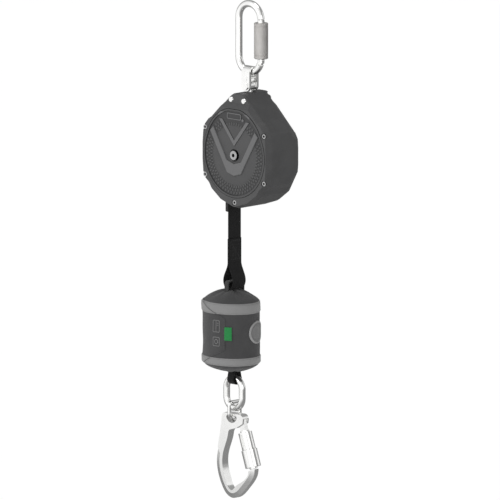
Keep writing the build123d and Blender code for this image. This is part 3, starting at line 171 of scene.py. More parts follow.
def disc(name, drop):
    """A wide level disc this far below the hanging hook."""
    level = START_BOX[0][2] - drop
    mesh = bpy.data.meshes.new(name)
    turns = [2 * pi * i / DISC_CORNERS for i in range(DISC_CORNERS)]
    mesh.from_pydata([(DISC_RADIUS * cos(t), DISC_RADIUS * sin(t), level) for t in turns], [],
                     [tuple(range(DISC_CORNERS))])
    made = bpy.data.objects.new(name, mesh)
    bpy.context.scene.collection.objects.link(made)
    return made


def make_stage():
    """A wide pale floor, clear of the hook at full payout, and a nearer reflector that only metals show."""
    floor = disc("floor", FLOOR_DROP)
    reflector = disc("reflector", REFLECTOR_DROP)
    reflector.visible_camera = False
    reflector.visible_diffuse = False
    reflector.visible_transmission = False
    reflector.visible_volume_scatter = False
    reflector.visible_shadow = False
    material = finish_of("floor", (0.30, 0.30, 0.30), 0.9)
    grain(material, 3.0, (0.28, 0.28, 0.28), (0.32, 0.32, 0.32))
    tree = material.node_tree
    glow = tree.nodes.new("ShaderNodeEmission")
    glow.inputs["Color"].default_value = (1.0, 1.0, 1.0, 1.0)
    glow.inputs["Strength"].default_value = FLOOR_WHITE
    seen = tree.nodes.new("ShaderNodeMixShader")
    seen.inputs["Fac"].default_value = 0.94
    tree.links.new(shader_of(material).outputs["BSDF"], seen.inputs[1])
    tree.links.new(glow.outputs["Emission"], seen.inputs[2])
    mirrored = tree.nodes.new("ShaderNodeMixShader")
    mirrored.inputs["Fac"].default_value = 0.95
    tree.links.new(shader_of(material).outputs["BSDF"], mirrored.inputs[1])
    tree.links.new(floor_glow(tree), mirrored.inputs[2])
    path = tree.nodes.new("ShaderNodeLightPath")
    mix = tree.nodes.new("ShaderNodeMixShader")
    tree.links.new(path.outputs["Is Glossy Ray"], mix.inputs["Fac"])
    tree.links.new(seen.outputs["Shader"], mix.inputs[1])
    tree.links.new(mirrored.outputs["Shader"], mix.inputs[2])
    tree.links.new(mix.outputs["Shader"], tree.nodes["Material Output"].inputs["Surface"])
    floor.data.materials.append(material)
    reflector.data.materials.append(material)


# ------------------------------------------------------------------ materials
def finish_of(name, colour, roughness, metallic=0.0, **sockets):
    """A material with one principled shader."""
    material = bpy.data.materials.new(name)
    material.use_nodes = True
    shader = material.node_tree.nodes["Principled BSDF"]
    shader.inputs["Base Color"].default_value = (*colour, 1.0)
    shader.inputs["Roughness"].default_value = roughness
    shader.inputs["Metallic"].default_value = metallic
    for socket, value in sockets.items():
        shader.inputs[socket.replace("_", " ")].default_value = value
    return material


def shader_of(material):
    return material.node_tree.nodes["Principled BSDF"]


def place_node(material, kind="Object"):
    """The coordinate output that a texture is laid by."""
    found = material.node_tree.nodes.get("place")
    if found is None:
        found = material.node_tree.nodes.new("ShaderNodeTexCoord")
        found.name = "place"
    return found.outputs[kind]


def calc(material, operation, first, second=None, third=None):
    """A math node fed by sockets or numbers."""
    node = material.node_tree.nodes.new("ShaderNodeMath")
    node.operation = operation
    for socket, value in zip(node.inputs, (first, second, third)):
        if value is None:
            continue
        if isinstance(value, (int, float)):
            socket.default_value = value
        else:
            material.node_tree.links.new(value, socket)
    return node.outputs["Value"]


def parts_of(material, kind="Object"):
    """The X, Y and Z sockets of a coordinate."""
    split = material.node_tree.nodes.new("ShaderNodeSeparateXYZ")
    material.node_tree.links.new(place_node(material, kind), split.inputs["Vector"])
    return split.outputs["X"], split.outputs["Y"], split.outputs["Z"]


def noise(material, scale, detail=3.0, stretch=(1.0, 1.0, 1.0), kind="Object"):
    """A noise texture's value."""
    tree = material.node_tree
    mapping = tree.nodes.new("ShaderNodeMapping")
    mapping.inputs["Scale"].default_value = stretch
    tree.links.new(place_node(material, kind), mapping.inputs["Vector"])
    texture = tree.nodes.new("ShaderNodeTexNoise")
    texture.inputs["Scale"].default_value = scale
    texture.inputs["Detail"].default_value = detail
    tree.links.new(mapping.outputs["Vector"], texture.inputs["Vector"])
    return texture.outputs["Fac"]


def paint(material, factor, low, high, start=0.35, end=0.65):
    """Blends the base colour between two colours by a value."""
    tree = material.node_tree
    ramp = tree.nodes.new("ShaderNodeValToRGB")
    ramp.color_ramp.elements[0].position = start
    ramp.color_ramp.elements[0].color = (*low, 1.0)
    ramp.color_ramp.elements[1].position = end
    ramp.color_ramp.elements[1].color = (*high, 1.0)
    tree.links.new(factor, ramp.inputs["Fac"])
    tree.links.new(ramp.outputs["Color"], shader_of(material).inputs["Base Color"])
    return ramp.outputs["Color"]


def grain(material, scale, low, high, stretch=(1.0, 1.0, 1.0)):
    return paint(material, noise(material, scale, 4.0, stretch), low, high)


def roughen(material, factor, low, high):
    """Varies the roughness between two levels by a value."""
    tree = material.node_tree
    ramp = tree.nodes.new("ShaderNodeMapRange")
    ramp.inputs["To Min"].default_value = low
    ramp.inputs["To Max"].default_value = high
    tree.links.new(factor, ramp.inputs["Value"])
    tree.links.new(ramp.outputs["Result"], shader_of(material).inputs["Roughness"])


def bump(material, height, depth, strength=1.0):
    """Lays a relief on the surface; a second call stacks on the first."""
    tree = material.node_tree
    node = tree.nodes.new("ShaderNodeBump")
    node.inputs["Strength"].default_value = strength
    node.inputs["Distance"].default_value = depth
    tree.links.new(height, node.inputs["Height"])
    shader = shader_of(material)
    if shader.inputs["Normal"].is_linked:
        tree.links.new(shader.inputs["Normal"].links[0].from_socket, node.inputs["Normal"])
    tree.links.new(node.outputs["Normal"], shader.inputs["Normal"])


def metal(name, low, high, roughness, scratch=(900.0, (1.0, 1.0, 1.0)), depth=0.00003):
    """Bare or plated steel with fine brushing and a little unevenness."""
    material = finish_of(name, high, roughness, 1.0)
    fine = noise(material, scratch[0], 3.0, scratch[1])
    paint(material, noise(material, 60.0, 3.0), low, high, 0.3, 0.7)
    roughen(material, fine, roughness * 0.75, roughness * 1.35)
    bump(material, fine, depth, 0.5)
    return material


def moulded(name, low, high, roughness=0.5, texture=0.00008):
    """Spark textured moulded plastic."""
    material = finish_of(name, high, roughness)
    shader_of(material).inputs["Specular IOR Level"].default_value = 0.45
    paint(material, noise(material, 45.0, 4.0), low, high, 0.3, 0.7)
    fine = noise(material, 2600.0, 2.0)
    roughen(material, fine, roughness - 0.06, roughness + 0.1)
    bump(material, fine, texture, 0.7)
    return material


def woven(name, low, high, pitch=0.0013, across=0.0016, roughness=0.85, depth=0.00025, twill=1.0,
          sheen=0.2):
    """Narrow woven tape: twill ribs that turn back across its width, by the strip's own lengths."""
    material = finish_of(name, high, roughness)
    shader_of(material).inputs["Sheen Weight"].default_value = sheen
    shader_of(material).inputs["Specular IOR Level"].default_value = 0.25
    side, along, _ = parts_of(material, "UV")
    fold = calc(material, "PINGPONG", calc(material, "ABSOLUTE", side), across * 2)
    slant = calc(material, "MULTIPLY_ADD", fold, twill, along)
    wave = calc(material, "SINE", calc(material, "MULTIPLY", slant, 2 * pi / pitch))
    thread = calc(material, "SINE", calc(material, "MULTIPLY", side, 2 * pi / (across / 1.5)))
    height = calc(material, "MULTIPLY_ADD", wave, 0.35, calc(material, "MULTIPLY_ADD", thread, 0.15, 0.5))
    fuzz = noise(material, 1400.0, 3.0, kind="UV")
    shade = calc(material, "MULTIPLY_ADD", fuzz, 0.5, calc(material, "MULTIPLY", height, 0.5))
    paint(material, shade, low, high, 0.25, 0.75)
    bump(material, height, depth, 0.8)
    bump(material, fuzz, depth * 0.4, 0.4)
    return material


def cloth_of(name, low, high, thread=0.0009, roughness=0.8, depth=0.00012, sheen=0.15):
    """Plain woven pack cloth, by the piece's own lengths."""
    material = finish_of(name, high, roughness)
    shader_of(material).inputs["Sheen Weight"].default_value = sheen
    shader_of(material).inputs["Specular IOR Level"].default_value = 0.3
    side, along, _ = parts_of(material, "UV")
    warp = calc(material, "SINE", calc(material, "MULTIPLY", side, 2 * pi / thread))
    weft = calc(material, "SINE", calc(material, "MULTIPLY", along, 2 * pi / thread))
    height = calc(material, "MULTIPLY_ADD", calc(material, "MULTIPLY", warp, weft), 0.5, 0.5)
    broad = noise(material, 38.0, 4.0)
    shade = calc(material, "MULTIPLY_ADD", height, 0.25, calc(material, "MULTIPLY", broad, 0.75))
    paint(material, shade, low, high, 0.3, 0.7)
    bump(material, height, depth, 0.7)
    bump(material, noise(material, 160.0, 3.0), 0.0003, 0.25)
    return material


def shade_where(material, mask, colour):
    """Paints one colour over the base colour where a value is 1."""
    tree = material.node_tree
    base = shader_of(material).inputs["Base Color"]
    mix = tree.nodes.new("ShaderNodeMix")
    mix.data_type = "RGBA"
    tree.links.new(mask, mix.inputs["Factor"])
    tree.links.new(base.links[0].from_socket, mix.inputs["A"])
    mix.inputs["B"].default_value = (*colour, 1.0)
    tree.links.new(mix.outputs["Result"], base)


DASH_FIELD = 0.0435             # outside this radius the panel's low field is painted darker, as painted shade round the dashes
FIELD_DEPTH = 0.0317            # whatever stands further off the middle than this is a rib
PANEL_RADIUS = 0.0572
CROWN = (0.040, 0.0602, 0.0305)  # the crown's foot and top above the hub, and half its width
HUB_RADIUS = 0.0096


def panel_finish(name, low, high, raised):
    """The cover panel: textured field, painted darker as painted shade round the dashes, with a painted
    highlight that makes the raised ribs paler.
    """
    material = moulded(name, low, high, 0.52, 0.0001)
    x, y, z = parts_of(material)
    depth = calc(material, "ABSOLUTE", y)
    hub_z = calc(material, "SUBTRACT", z, HUB.z)
    radius = calc(material, "SQRT", calc(material, "ADD", calc(material, "MULTIPLY", x, x),
                                         calc(material, "MULTIPLY", hub_z, hub_z)))
    # Painted shade: outside DASH_FIELD the low field round the dashes is painted darker
    in_ring = calc(material, "GREATER_THAN", radius, DASH_FIELD)
    field_painted_shade = calc(material, "MULTIPLY", in_ring, calc(material, "LESS_THAN", depth, FIELD_DEPTH))
    shade_where(material, field_painted_shade, (0.034, 0.034, 0.035))
    # Painted highlight: the raised ribs and the plaque inside the panel's rim are painted paler where they
    # stand proud of the field
    inside = calc(material, "LESS_THAN", radius, PANEL_RADIUS)
    crown = calc(material, "MULTIPLY", calc(material, "GREATER_THAN", hub_z, CROWN[0]),
                 calc(material, "LESS_THAN", calc(material, "ABSOLUTE", x), CROWN[2]))
    inside = calc(material, "MAXIMUM", inside, calc(material, "MULTIPLY", crown,
                                                    calc(material, "LESS_THAN", hub_z, CROWN[1])))
    outside_hub = calc(material, "GREATER_THAN", radius, HUB_RADIUS)
    proud = calc(material, "GREATER_THAN", depth, FIELD_DEPTH)
    mask = calc(material, "MULTIPLY", calc(material, "MULTIPLY", inside, proud), outside_hub)
    shade_where(material, mask, raised)
    return material


def socketed(name, floor_y):
    """Screw steel with painted shade, black inside its socket: whatever lies nearer the middle than the
    socket's floor.
    """
    material = metal(name, (0.38, 0.38, 0.38), (0.45, 0.45, 0.45), 0.36)
    _, y, _ = parts_of(material)
    # Painted shade: black wherever the steel lies deeper than floor_y
    socket_painted_shade = calc(material, "LESS_THAN", calc(material, "ABSOLUTE", y), floor_y)
    shade_where(material, socket_painted_shade, (0.008, 0.008, 0.008))
    return material


def knurled(name, low, high):
    """Satin sleeve with fine lengthwise ribs."""
    material = metal(name, low, high, 0.42, (700.0, (1.0, 1.0, 0.2)))
    x, y, _ = parts_of(material)
    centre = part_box("carabiner_sleeve")
    middle = (centre[0] + centre[1]) / 2
    turn = calc(material, "ARCTAN2", calc(material, "SUBTRACT", y, middle.y),
                calc(material, "SUBTRACT", x, middle.x))
    ribs = calc(material, "SINE", calc(material, "MULTIPLY", turn, 44.0))
    bump(material, ribs, 0.0002, 0.6)
    return material


# ------------------------------------------------------------------ mesh helpers
def piece(name, verts, faces, material, uvs=None, smooth=True, crease_angle=None):
    """A mesh object; uvs gives each vertex its place on the cloth in metres."""
    mesh = bpy.data.meshes.new(name)
    mesh.from_pydata([tuple(v) for v in verts], [], faces)
    mesh.validate()
    if uvs is not None:
        layer = mesh.uv_layers.new(name="UVMap")
        for loop in mesh.loops:
            layer.data[loop.index].uv = uvs[loop.vertex_index]
    made = bmesh.new()
    made.from_mesh(mesh)
    bmesh.ops.recalc_face_normals(made, faces=made.faces)
    made.to_mesh(mesh)
    made.free()
    for polygon in mesh.polygons:
        polygon.use_smooth = smooth
    thing = bpy.data.objects.new(name, mesh)
    bpy.context.scene.collection.objects.link(thing)
    thing.data.materials.append(material)
    if crease_angle is not None:
        edge = thing.modifiers.new("edges", "EDGE_SPLIT")
        edge.split_angle = radians(crease_angle)
    return thing


def join_rows(faces, base, rows, size, closed=False, capped=True):
    """Adds the faces between rows of points that each run round a section, and the two end faces."""
    for r in range(rows if closed else rows - 1):
        first = base + r * size
        second = base + (r + 1) % rows * size
        for k in range(size):
            m = (k + 1) % size
            faces.append((first + k, first + m, second + m, second + k))
    if capped and not closed:
        faces.append(tuple(base + k for k in range(size)))
        faces.append(tuple(base + (rows - 1) * size + k for k in range(size)))


def apply_modifiers(thing):
    """Bakes the modifiers into the mesh."""
    graph = bpy.context.evaluated_depsgraph_get()
    done = bpy.data.meshes.new_from_object(thing.evaluated_get(graph))
    old = thing.data
    thing.modifiers.clear()
    thing.data = done
    bpy.data.meshes.remove(old)


def tape_section(width, thickness, ribs=10):
    """Points round a flat tape's section, as across and out, starting at one edge."""
    half = width / 2
    top = thickness / 2
    inner = half - thickness * 0.35
    upper = [(-half, 0.0), (-half + thickness * 0.12, top * 0.7)]
    upper += [(-inner + 2 * inner * i / ribs, top) for i in range(ribs + 1)]
    upper += [(half - thickness * 0.12, top * 0.7)]
    lower = [(-a, -b) for a, b in upper]
    return upper + lower


def tape(name, path, across, width, thickness, material, closed=False, ribs=10, limp=None):
    """A woven tape along a path, flat side facing out of the path's bend."""
    section = tape_section(width, thickness, ribs)
    count = len(path)
    lengths = [0.0]
    for a, b in zip(path, path[1:]):
        lengths.append(lengths[-1] + (b - a).length)
    verts = []
    uvs = []
    for i, point in enumerate(path):
        before = path[i - 1] if closed or i else point
        after = path[(i + 1) % count] if closed or i < count - 1 else point
        way = (after - before).normalized()
        out = across.cross(way).normalized()
        for a, b in section:
            shift = limp(i, a) if limp else 0.0
            verts.append(point + across * a + out * (b + shift))
            uvs.append((a, lengths[i]))
    faces = []
    join_rows(faces, 0, count, len(section), closed)
    return piece(name, verts, faces, material, uvs)


THREAD_SIDES = 6
WELT_SIDES = 8


def stitch_line(verts, faces, start, end, out, length=0.0026, gap=0.0011, wide=0.00033, tall=0.00022):
    """Adds a row of thread stitches between two points, as small rounded bars."""
    way = end - start
    total = way.length
    way.normalize()
    side = out.cross(way).normalized()
    count = max(1, int(total / (length + gap)))
    pitch = total / count
    for n in range(count):
        first = start + way * (pitch * n + gap / 2)
        ring_places = [(0.0, 0.35), (0.18, 0.9), (0.5, 1.05), (0.82, 0.9), (1.0, 0.35)]
        base = len(verts)
        for along, fat in ring_places:
            centre = first + way * ((pitch - gap) * along)
            for k in range(THREAD_SIDES):
                turn = 2 * pi * k / THREAD_SIDES
                verts.append(centre + side * (wide * fat * cos(turn)) + out * (tall * fat * sin(turn)))
        join_rows(faces, base, len(ring_places), THREAD_SIDES)


def stitches(name, rows, material, **sizes):
    """All the rows of thread of one seam, in one piece."""
    verts = []
    faces = []
    for start, end, out in rows:
        stitch_line(verts, faces, Vector(start), Vector(end), Vector(out).normalized(), **sizes)
    return piece(name, verts, faces, material, [(v[0], v[2]) for v in verts])


# ------------------------------------------------------------------ places from the frame
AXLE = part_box("drum_axle")
HUB = (AXLE[0] + AXLE[1]) / 2
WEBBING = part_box("lifeline_webbing")
LINE_X = (WEBBING[0].x + WEBBING[1].x) / 2
WEB_WIDTH = WEBBING[1].y - WEBBING[0].y
WEB_THICK = 0.0015
CORE_RADIUS = 0.013
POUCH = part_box("pack_cover")
POUCH_MID = (POUCH[0] + POUCH[1]) / 2
POUCH_A = (POUCH[1].x - POUCH[0].x) / 2
POUCH_B = (POUCH[1].y - POUCH[0].y) / 2
UPPER_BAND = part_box("band_top")
LOWER_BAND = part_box("band_bottom")
ACROSS = Vector((0.0, 1.0, 0.0))

# ------------------------------------------------------------------ the finishes
POLISHED = metal("polished_steel", (0.88, 0.88, 0.87), (0.94, 0.94, 0.93), 0.13, depth=0.000003)
PLATED = metal("plated_steel", (0.87, 0.87, 0.86), (0.93, 0.93, 0.92), 0.20, depth=0.000003)
FORGED = metal("forged_steel", (0.87, 0.87, 0.86), (0.93, 0.93, 0.92), 0.18, (1200.0, (1.0, 1.0, 0.35)),
               depth=0.000004)
SATIN = knurled("satin_sleeve", (0.47, 0.455, 0.44), (0.54, 0.525, 0.51))
# Both steels carry painted shade: black in the sockets and on the hub screw head's side below its socket
# floor
HUB_STEEL = socketed("hub_steel", 0.0332)
SCREW_STEEL = socketed("screw_steel", 0.0308)
SPRING = metal("spring_steel", (0.22, 0.25, 0.32), (0.36, 0.37, 0.40), 0.3)
PLATE = metal("stamped_plate", (0.62, 0.63, 0.64), (0.74, 0.74, 0.75), 0.35)
BRONZE = metal("bearing_bronze", (0.50, 0.32, 0.13), (0.62, 0.43, 0.2), 0.35)
SHELL = moulded("shell_plastic", (0.050, 0.050, 0.051), (0.060, 0.060, 0.061))
# The panel's last colour is the painted highlight laid on its raised ribs
PANEL = panel_finish("panel_plastic", (0.048, 0.048, 0.049), (0.058, 0.058, 0.059), (0.115, 0.115, 0.117))
# The dashes are painted a little lighter than the panel's plastic: a painted highlight on the raised bars
DASH = moulded("dash_plastic_highlight", (0.058, 0.058, 0.059), (0.068, 0.068, 0.069), 0.5)
NYLON = moulded("drum_nylon", (0.08, 0.08, 0.085), (0.11, 0.11, 0.115), 0.45)
BLACK_PLASTIC = moulded("black_plastic", (0.006, 0.006, 0.006), (0.010, 0.010, 0.010), 0.5)
BLACK_WEB = woven("black_webbing", (0.0045, 0.0045, 0.0046), (0.0105, 0.0105, 0.0108), sheen=0.05)
GREY_WEB = woven("grey_webbing", (0.022, 0.022, 0.022), (0.045, 0.045, 0.045), pitch=0.0011)
BAND_WEB = woven("band_tape", (0.185, 0.185, 0.185), (0.245, 0.245, 0.245), pitch=0.0012, depth=0.00015)
CREAM_WEB = woven("tear_webbing", (0.42, 0.40, 0.33), (0.58, 0.55, 0.46), pitch=0.0012)
POUCH_CLOTH = cloth_of("pouch_cloth", (0.040, 0.040, 0.041), (0.054, 0.054, 0.055))
FLAP_CLOTH = cloth_of("flap_cloth", (0.042, 0.042, 0.043), (0.056, 0.056, 0.057), thread=0.0008)
GREEN_TAPE = woven("green_tape", (0.010, 0.15, 0.035), (0.018, 0.23, 0.06), pitch=0.0009, depth=0.00012)
PATCH_GREY = cloth_of("patch_grey", (0.13, 0.13, 0.13), (0.17, 0.17, 0.17), thread=0.0006)
PATCH_RIM = moulded("patch_rim", (0.22, 0.22, 0.22), (0.27, 0.27, 0.27), 0.5, 0.00004)
WELT = moulded("welded_outline", (0.14, 0.14, 0.14), (0.18, 0.18, 0.18), 0.45, 0.00003)
BLACK_THREAD = woven("black_thread", (0.012, 0.012, 0.012), (0.03, 0.03, 0.03), pitch=0.0006)
GREY_THREAD = woven("grey_thread", (0.09, 0.09, 0.09), (0.14, 0.14, 0.14), pitch=0.0006)

NODE_FINISH = (
    (POLISHED, "carabiner_body carabiner_gate_pin carabiner_gate"),
    (SATIN, "carabiner_sleeve"),
    (PLATED, "swivel_clevis clevis_spacer_pin clevis_pin swivel_stud thrust_washer stud_nut "
             "frame_rivets swivel_block frame_spacers guide_pins drum_axle guide_roller_outer "
             "guide_roller_inner pawl_pins"),
    (SHELL, "front_shell rear_shell"),
    (PANEL, "front_panel rear_panel"),
    (SCREW_STEEL, "housing_screws"),
    (PLATE, "frame_plate_front frame_plate_rear drum_core drum_flange_front drum_flange_rear"),
    (BLACK_PLASTIC, "webbing_mouth webbing_stop"),
    (HUB_STEEL, "hub_screw_front hub_screw_rear"),
    (FORGED, "ratchet_ring pawl_right pawl_left oval_ring hook_link hook_body hook_gate_pin "
             "hook_gate hook_sleeve_upper hook_sleeve_lower"),
    (NYLON, "spring_case"),
    (SPRING, "power_spring"),
    (BRONZE, "drum_bush"),
)


def dress_nodes():
    """Gives every carried-over node its finish."""
    for name, material in [(name, material) for material, names in NODE_FINISH for name in names.split()]:
        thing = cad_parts[name]
        if not thing.material_slots:
            thing.data.materials.append(material)
        for slot in thing.material_slots:
            slot.link = "OBJECT"
            slot.material = material


# ------------------------------------------------------------------ the cover panel's small ribs
DASH_RADII = (0.0538, 0.0494, 0.0450)  # each row sits in the gaps of the one outside it
DASH_PITCH = 6.0                               # degrees
DASH_LENGTH = 0.0060
DASH_WIDTH = 0.0032
DASH_RISE = 0.0008
RIB_RISE = 0.0016                              # the chevron stands this far off the field


def on_rib(across, up):
    """Whether a place on the panel, from the hub, is taken by a rib, the plaque or its rivet."""
    wide = up > -0.034 and 0.0105 + 0.59 * (up + 0.0075) < across < 0.0170 + 0.596 * (up + 0.026)
    narrow = 0.825 * (up - 0.0213) - 0.0035 < across < 0.814 * (up - 0.0132) + 0.0030
    plaque = up > 0.0475 and across < 0.0215
    return wide or narrow or plaque


def panel_dashes():
    """Staggered rows of raised dashes, each pointing at the hub, round the panel's field."""
    verts = []
    faces = []
    floor_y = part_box("front_panel")[0].y + RIB_RISE
    step = radians(DASH_PITCH)
    for row, radius in enumerate(DASH_RADII):
        for n in range(round(2 * pi / step)):
            turn = step * (n + 0.5 * (row % 2))
            x = radius * cos(turn)
            z = radius * sin(turn)
            if on_rib(abs(x), z):
                continue
            add_dash(verts, faces, turn, radius, floor_y)
    dashes = piece("front_dashes", verts, faces, DASH, smooth=False)
    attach(dashes, "housing")


def add_dash(verts, faces, turn, radius, floor_y):
    """One bar with sloping sides, raised from the field."""
    out = Vector((cos(turn), 0.0, sin(turn)))
    side = Vector((-sin(turn), 0.0, cos(turn)))
    centre = Vector((HUB.x, floor_y, HUB.z)) + out * radius
    half = DASH_LENGTH / 2
    wide = DASH_WIDTH / 2
    outline = [(-half, 0.0), (-half + wide, wide), (half - wide, wide), (half, 0.0), (half - wide, -wide),
               (-half + wide, -wide)]
    base = len(verts)
    for shrink, lift in ((1.0, -0.0001), (0.7, DASH_RISE)):
        for a, b in outline:
            verts.append(centre + out * (a * shrink) + side * (b * shrink) + Vector((0.0, -lift, 0.0)))
    join_rows(faces, base, 2, len(outline))


# ------------------------------------------------------------------ the lifeline
def lifeline():
    """The webbing, from the drum to the sewn end."""
    top = WEBBING[1].z
    foot = WEBBING[0].z
    steps = 60
    path = [Vector((LINE_X, 0.0, top + (foot - top) * i / steps)) for i in range(steps + 1)]
    web = tape("webbing_line", path, ACROSS, WEB_WIDTH, WEBBING[1].x - WEBBING[0].x, BLACK_WEB)
    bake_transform(web)
    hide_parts("lifeline_webbing")


def sewn_end():
    """Two layers of webbing sewn together above the loop, with the loop below."""
    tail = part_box("lifeline_tail")
    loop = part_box("lifeline_loop")
    layer = (tail[1].x - tail[0].x) / 2
    steps = 16
    for side, name in ((-1, "tail_outer"), (1, "tail_inner")):
        path = [Vector((LINE_X + side * layer / 2, 0.0, tail[1].z + (tail[0].z - tail[1].z) * i / steps))
                for i in range(steps + 1)]
        strip = tape(name, path, ACROSS, WEB_WIDTH, layer * 0.96, BLACK_WEB)
        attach(strip, "lifeline_end")
        if side < 0:
            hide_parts("lifeline_tail")
    half_x = (loop[1].x - loop[0].x) / 2 - layer / 2
    centre_z = loop[0].z + 0.013
    half_z = 0.013 - layer / 2
    neck = Vector((LINE_X, 0.0, loop[1].z))
    path = []
    for i in range(19):
        part = i / 18
        ease = part * part * (3 - 2 * part)
        path.append(Vector((LINE_X - layer / 2 - (half_x - layer / 2) * ease, 0.0,
                            neck.z + (centre_z - neck.z) * part)))
    for i in range(1, 24):
        turn = pi + pi * i / 24
        path.append(Vector((LINE_X + half_x * cos(turn), 0.0, centre_z + half_z * sin(turn))))
    for i in range(19):
        part = 1 - i / 18
        ease = part * part * (3 - 2 * part)
        path.append(Vector((LINE_X + layer / 2 + (half_x - layer / 2) * ease, 0.0,
                            neck.z + (centre_z - neck.z) * part)))
    band = tape("sewn_loop", path, ACROSS, WEB_WIDTH, layer * 0.92, BLACK_WEB)
    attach(band, "lifeline_end")
    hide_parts("lifeline_loop")
    rows = []
    reach = WEB_WIDTH / 2 - 0.0028
    for side in (-1, 1):
        face = LINE_X + side * layer
        for n in range(7):
            y = -reach + 2 * reach * n / 6
            rows.append(((face, y, tail[1].z - 0.003), (face, y, tail[0].z + 0.004), (side, 0, 0)))
        for z in (tail[1].z - 0.003, tail[0].z + 0.004):
            rows.append(((face, -reach, z), (face, reach, z), (side, 0, 0)))
        lean = (tail[1].z - 0.003, tail[0].z + 0.004)
        rows.append(((face, -reach, lean[0]), (face, reach, lean[1]), (side, 0, 0)))
        rows.append(((face, reach, lean[0]), (face, -reach, lean[1]), (side, 0, 0)))
    thread = stitches("tail_stitches", rows, BLACK_THREAD)
    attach(thread, "lifeline_end")


def wound_coil():
    """The webbing wound on the drum."""
    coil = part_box("webbing_coil")
    centre = (coil[0] + coil[1]) / 2
    outer = (coil[1].z - coil[0].z) / 2
    thick = WEB_THICK
    inner = CORE_RADIUS + thick / 2
    turns = (outer - thick / 2 - inner) / thick
    steps = int(turns * 40)
    path = []
    for i in range(steps + 1):
        turn = pi - 2 * pi * turns * (1 - i / steps)
        radius = inner + (outer - thick / 2 - inner) * i / steps
        path.append(Vector((centre.x + radius * cos(turn), centre.y, centre.z + radius * sin(turn))))
    web = tape("wound_webbing", path, ACROSS, WEB_WIDTH * 0.99, thick * 0.96, BLACK_WEB, ribs=2)
    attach(web, "drum")
    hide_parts("webbing_coil")


# ------------------------------------------------------------------ the pouch
POUCH_PROFILE = [
    (0.000, -0.4068), (0.120, -0.4069), (0.240, -0.4075), (0.360, -0.4085), (0.480, -0.4100),
    (0.600, -0.4119), (0.700, -0.4138), (0.790, -0.4158), (0.865, -0.4178), (0.925, -0.4198),
    (0.965, -0.4219), (0.988, -0.4242), (0.996, -0.4268), (0.996, -0.4300), (0.994, -0.4335),
    (0.988, -0.4370), (0.984, -0.4405), (0.982, -0.4450), (0.980, -0.4500), (0.980, -0.4550),
    (0.980, -0.4600), (0.980, -0.4650), (0.980, -0.4700), (0.980, -0.4750), (0.980, -0.4800),
    (0.981, -0.4850), (0.983, -0.4900), (0.985, -0.4945), (0.989, -0.4985), (0.995, -0.5020),
    (0.996, -0.5055), (0.994, -0.5085), (0.980, -0.5107), (0.950, -0.5126), (0.905, -0.5144),
    (0.840, -0.5162), (0.755, -0.5179), (0.655, -0.5195), (0.540, -0.5210), (0.420, -0.5223),
    (0.300, -0.5233), (0.160, -0.5241), (0.000, -0.5246),
]
AROUND = 144


def gathers(turn, scale, height):
    """How far the cloth stands in at a place, in metres: folds that run out from the strap."""
    upper = height > POUCH_MID.z
    reach = max(0.0, min(1.0, (0.99 - scale) / 0.5)) * max(0.0, min(1.0, scale / 0.25))
    folds = (sin(5 * turn + 0.7) * 0.55 + sin(8 * turn + 2.1) * 0.35 + sin(13 * turn + 4.0) * 0.18)
    return (0.0017 if upper else 0.0012) * reach * folds


def creases(turn, height):
    """Soft dents in the pouch's side, in metres."""
    return 0.0004 * sin(3 * turn + 40 * height) + 0.00025 * sin(7 * turn - 160 * height + 1.0)


def pouch():
    """The cloth pouch: filled by a short cloth simulation, then kept near its cut shape."""
    verts = [Vector((POUCH_MID.x, POUCH_MID.y, POUCH_PROFILE[0][1]))]
    uvs = [(0.0, 0.0)]
    run = 0.0
    rows = POUCH_PROFILE[1:-1]
    last = POUCH_PROFILE[0]
    for scale, height in rows:
        run += hypot((scale - last[0]) * POUCH_A, height - last[1])
        last = (scale, height)
        for n in range(AROUND):
            turn = 2 * pi * n / AROUND
            lift = gathers(turn, scale, height)
            dent = creases(turn, height) if scale > 0.97 else 0.0
            side = scale + dent / POUCH_A
            verts.append(Vector((POUCH_MID.x + POUCH_A * side * cos(turn),
                                 POUCH_MID.y + POUCH_B * side * sin(turn),
                                 height + (lift if height > POUCH_MID.z else -lift))))
            uvs.append((turn * POUCH_A, run))
    verts.append(Vector((POUCH_MID.x, POUCH_MID.y, POUCH_PROFILE[-1][1])))
    uvs.append((0.0, run + 0.004))
    faces = []
    for n in range(AROUND):
        faces.append((0, 1 + n, 1 + (n + 1) % AROUND))
        final = 1 + (len(rows) - 1) * AROUND
        faces.append((final + n, len(verts) - 1, final + (n + 1) % AROUND))
    for r in range(len(rows) - 1):
        for n in range(AROUND):
            m = (n + 1) % AROUND
            a = 1 + r * AROUND
            b = a + AROUND
            faces.append((a + n, b + n, b + m, a + m))
    bag = piece("pouch", verts, faces, POUCH_CLOTH, uvs)
    simulate(bag, 0.0022)
    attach(bag, "pack")
    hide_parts("pack_cover")
    return bag


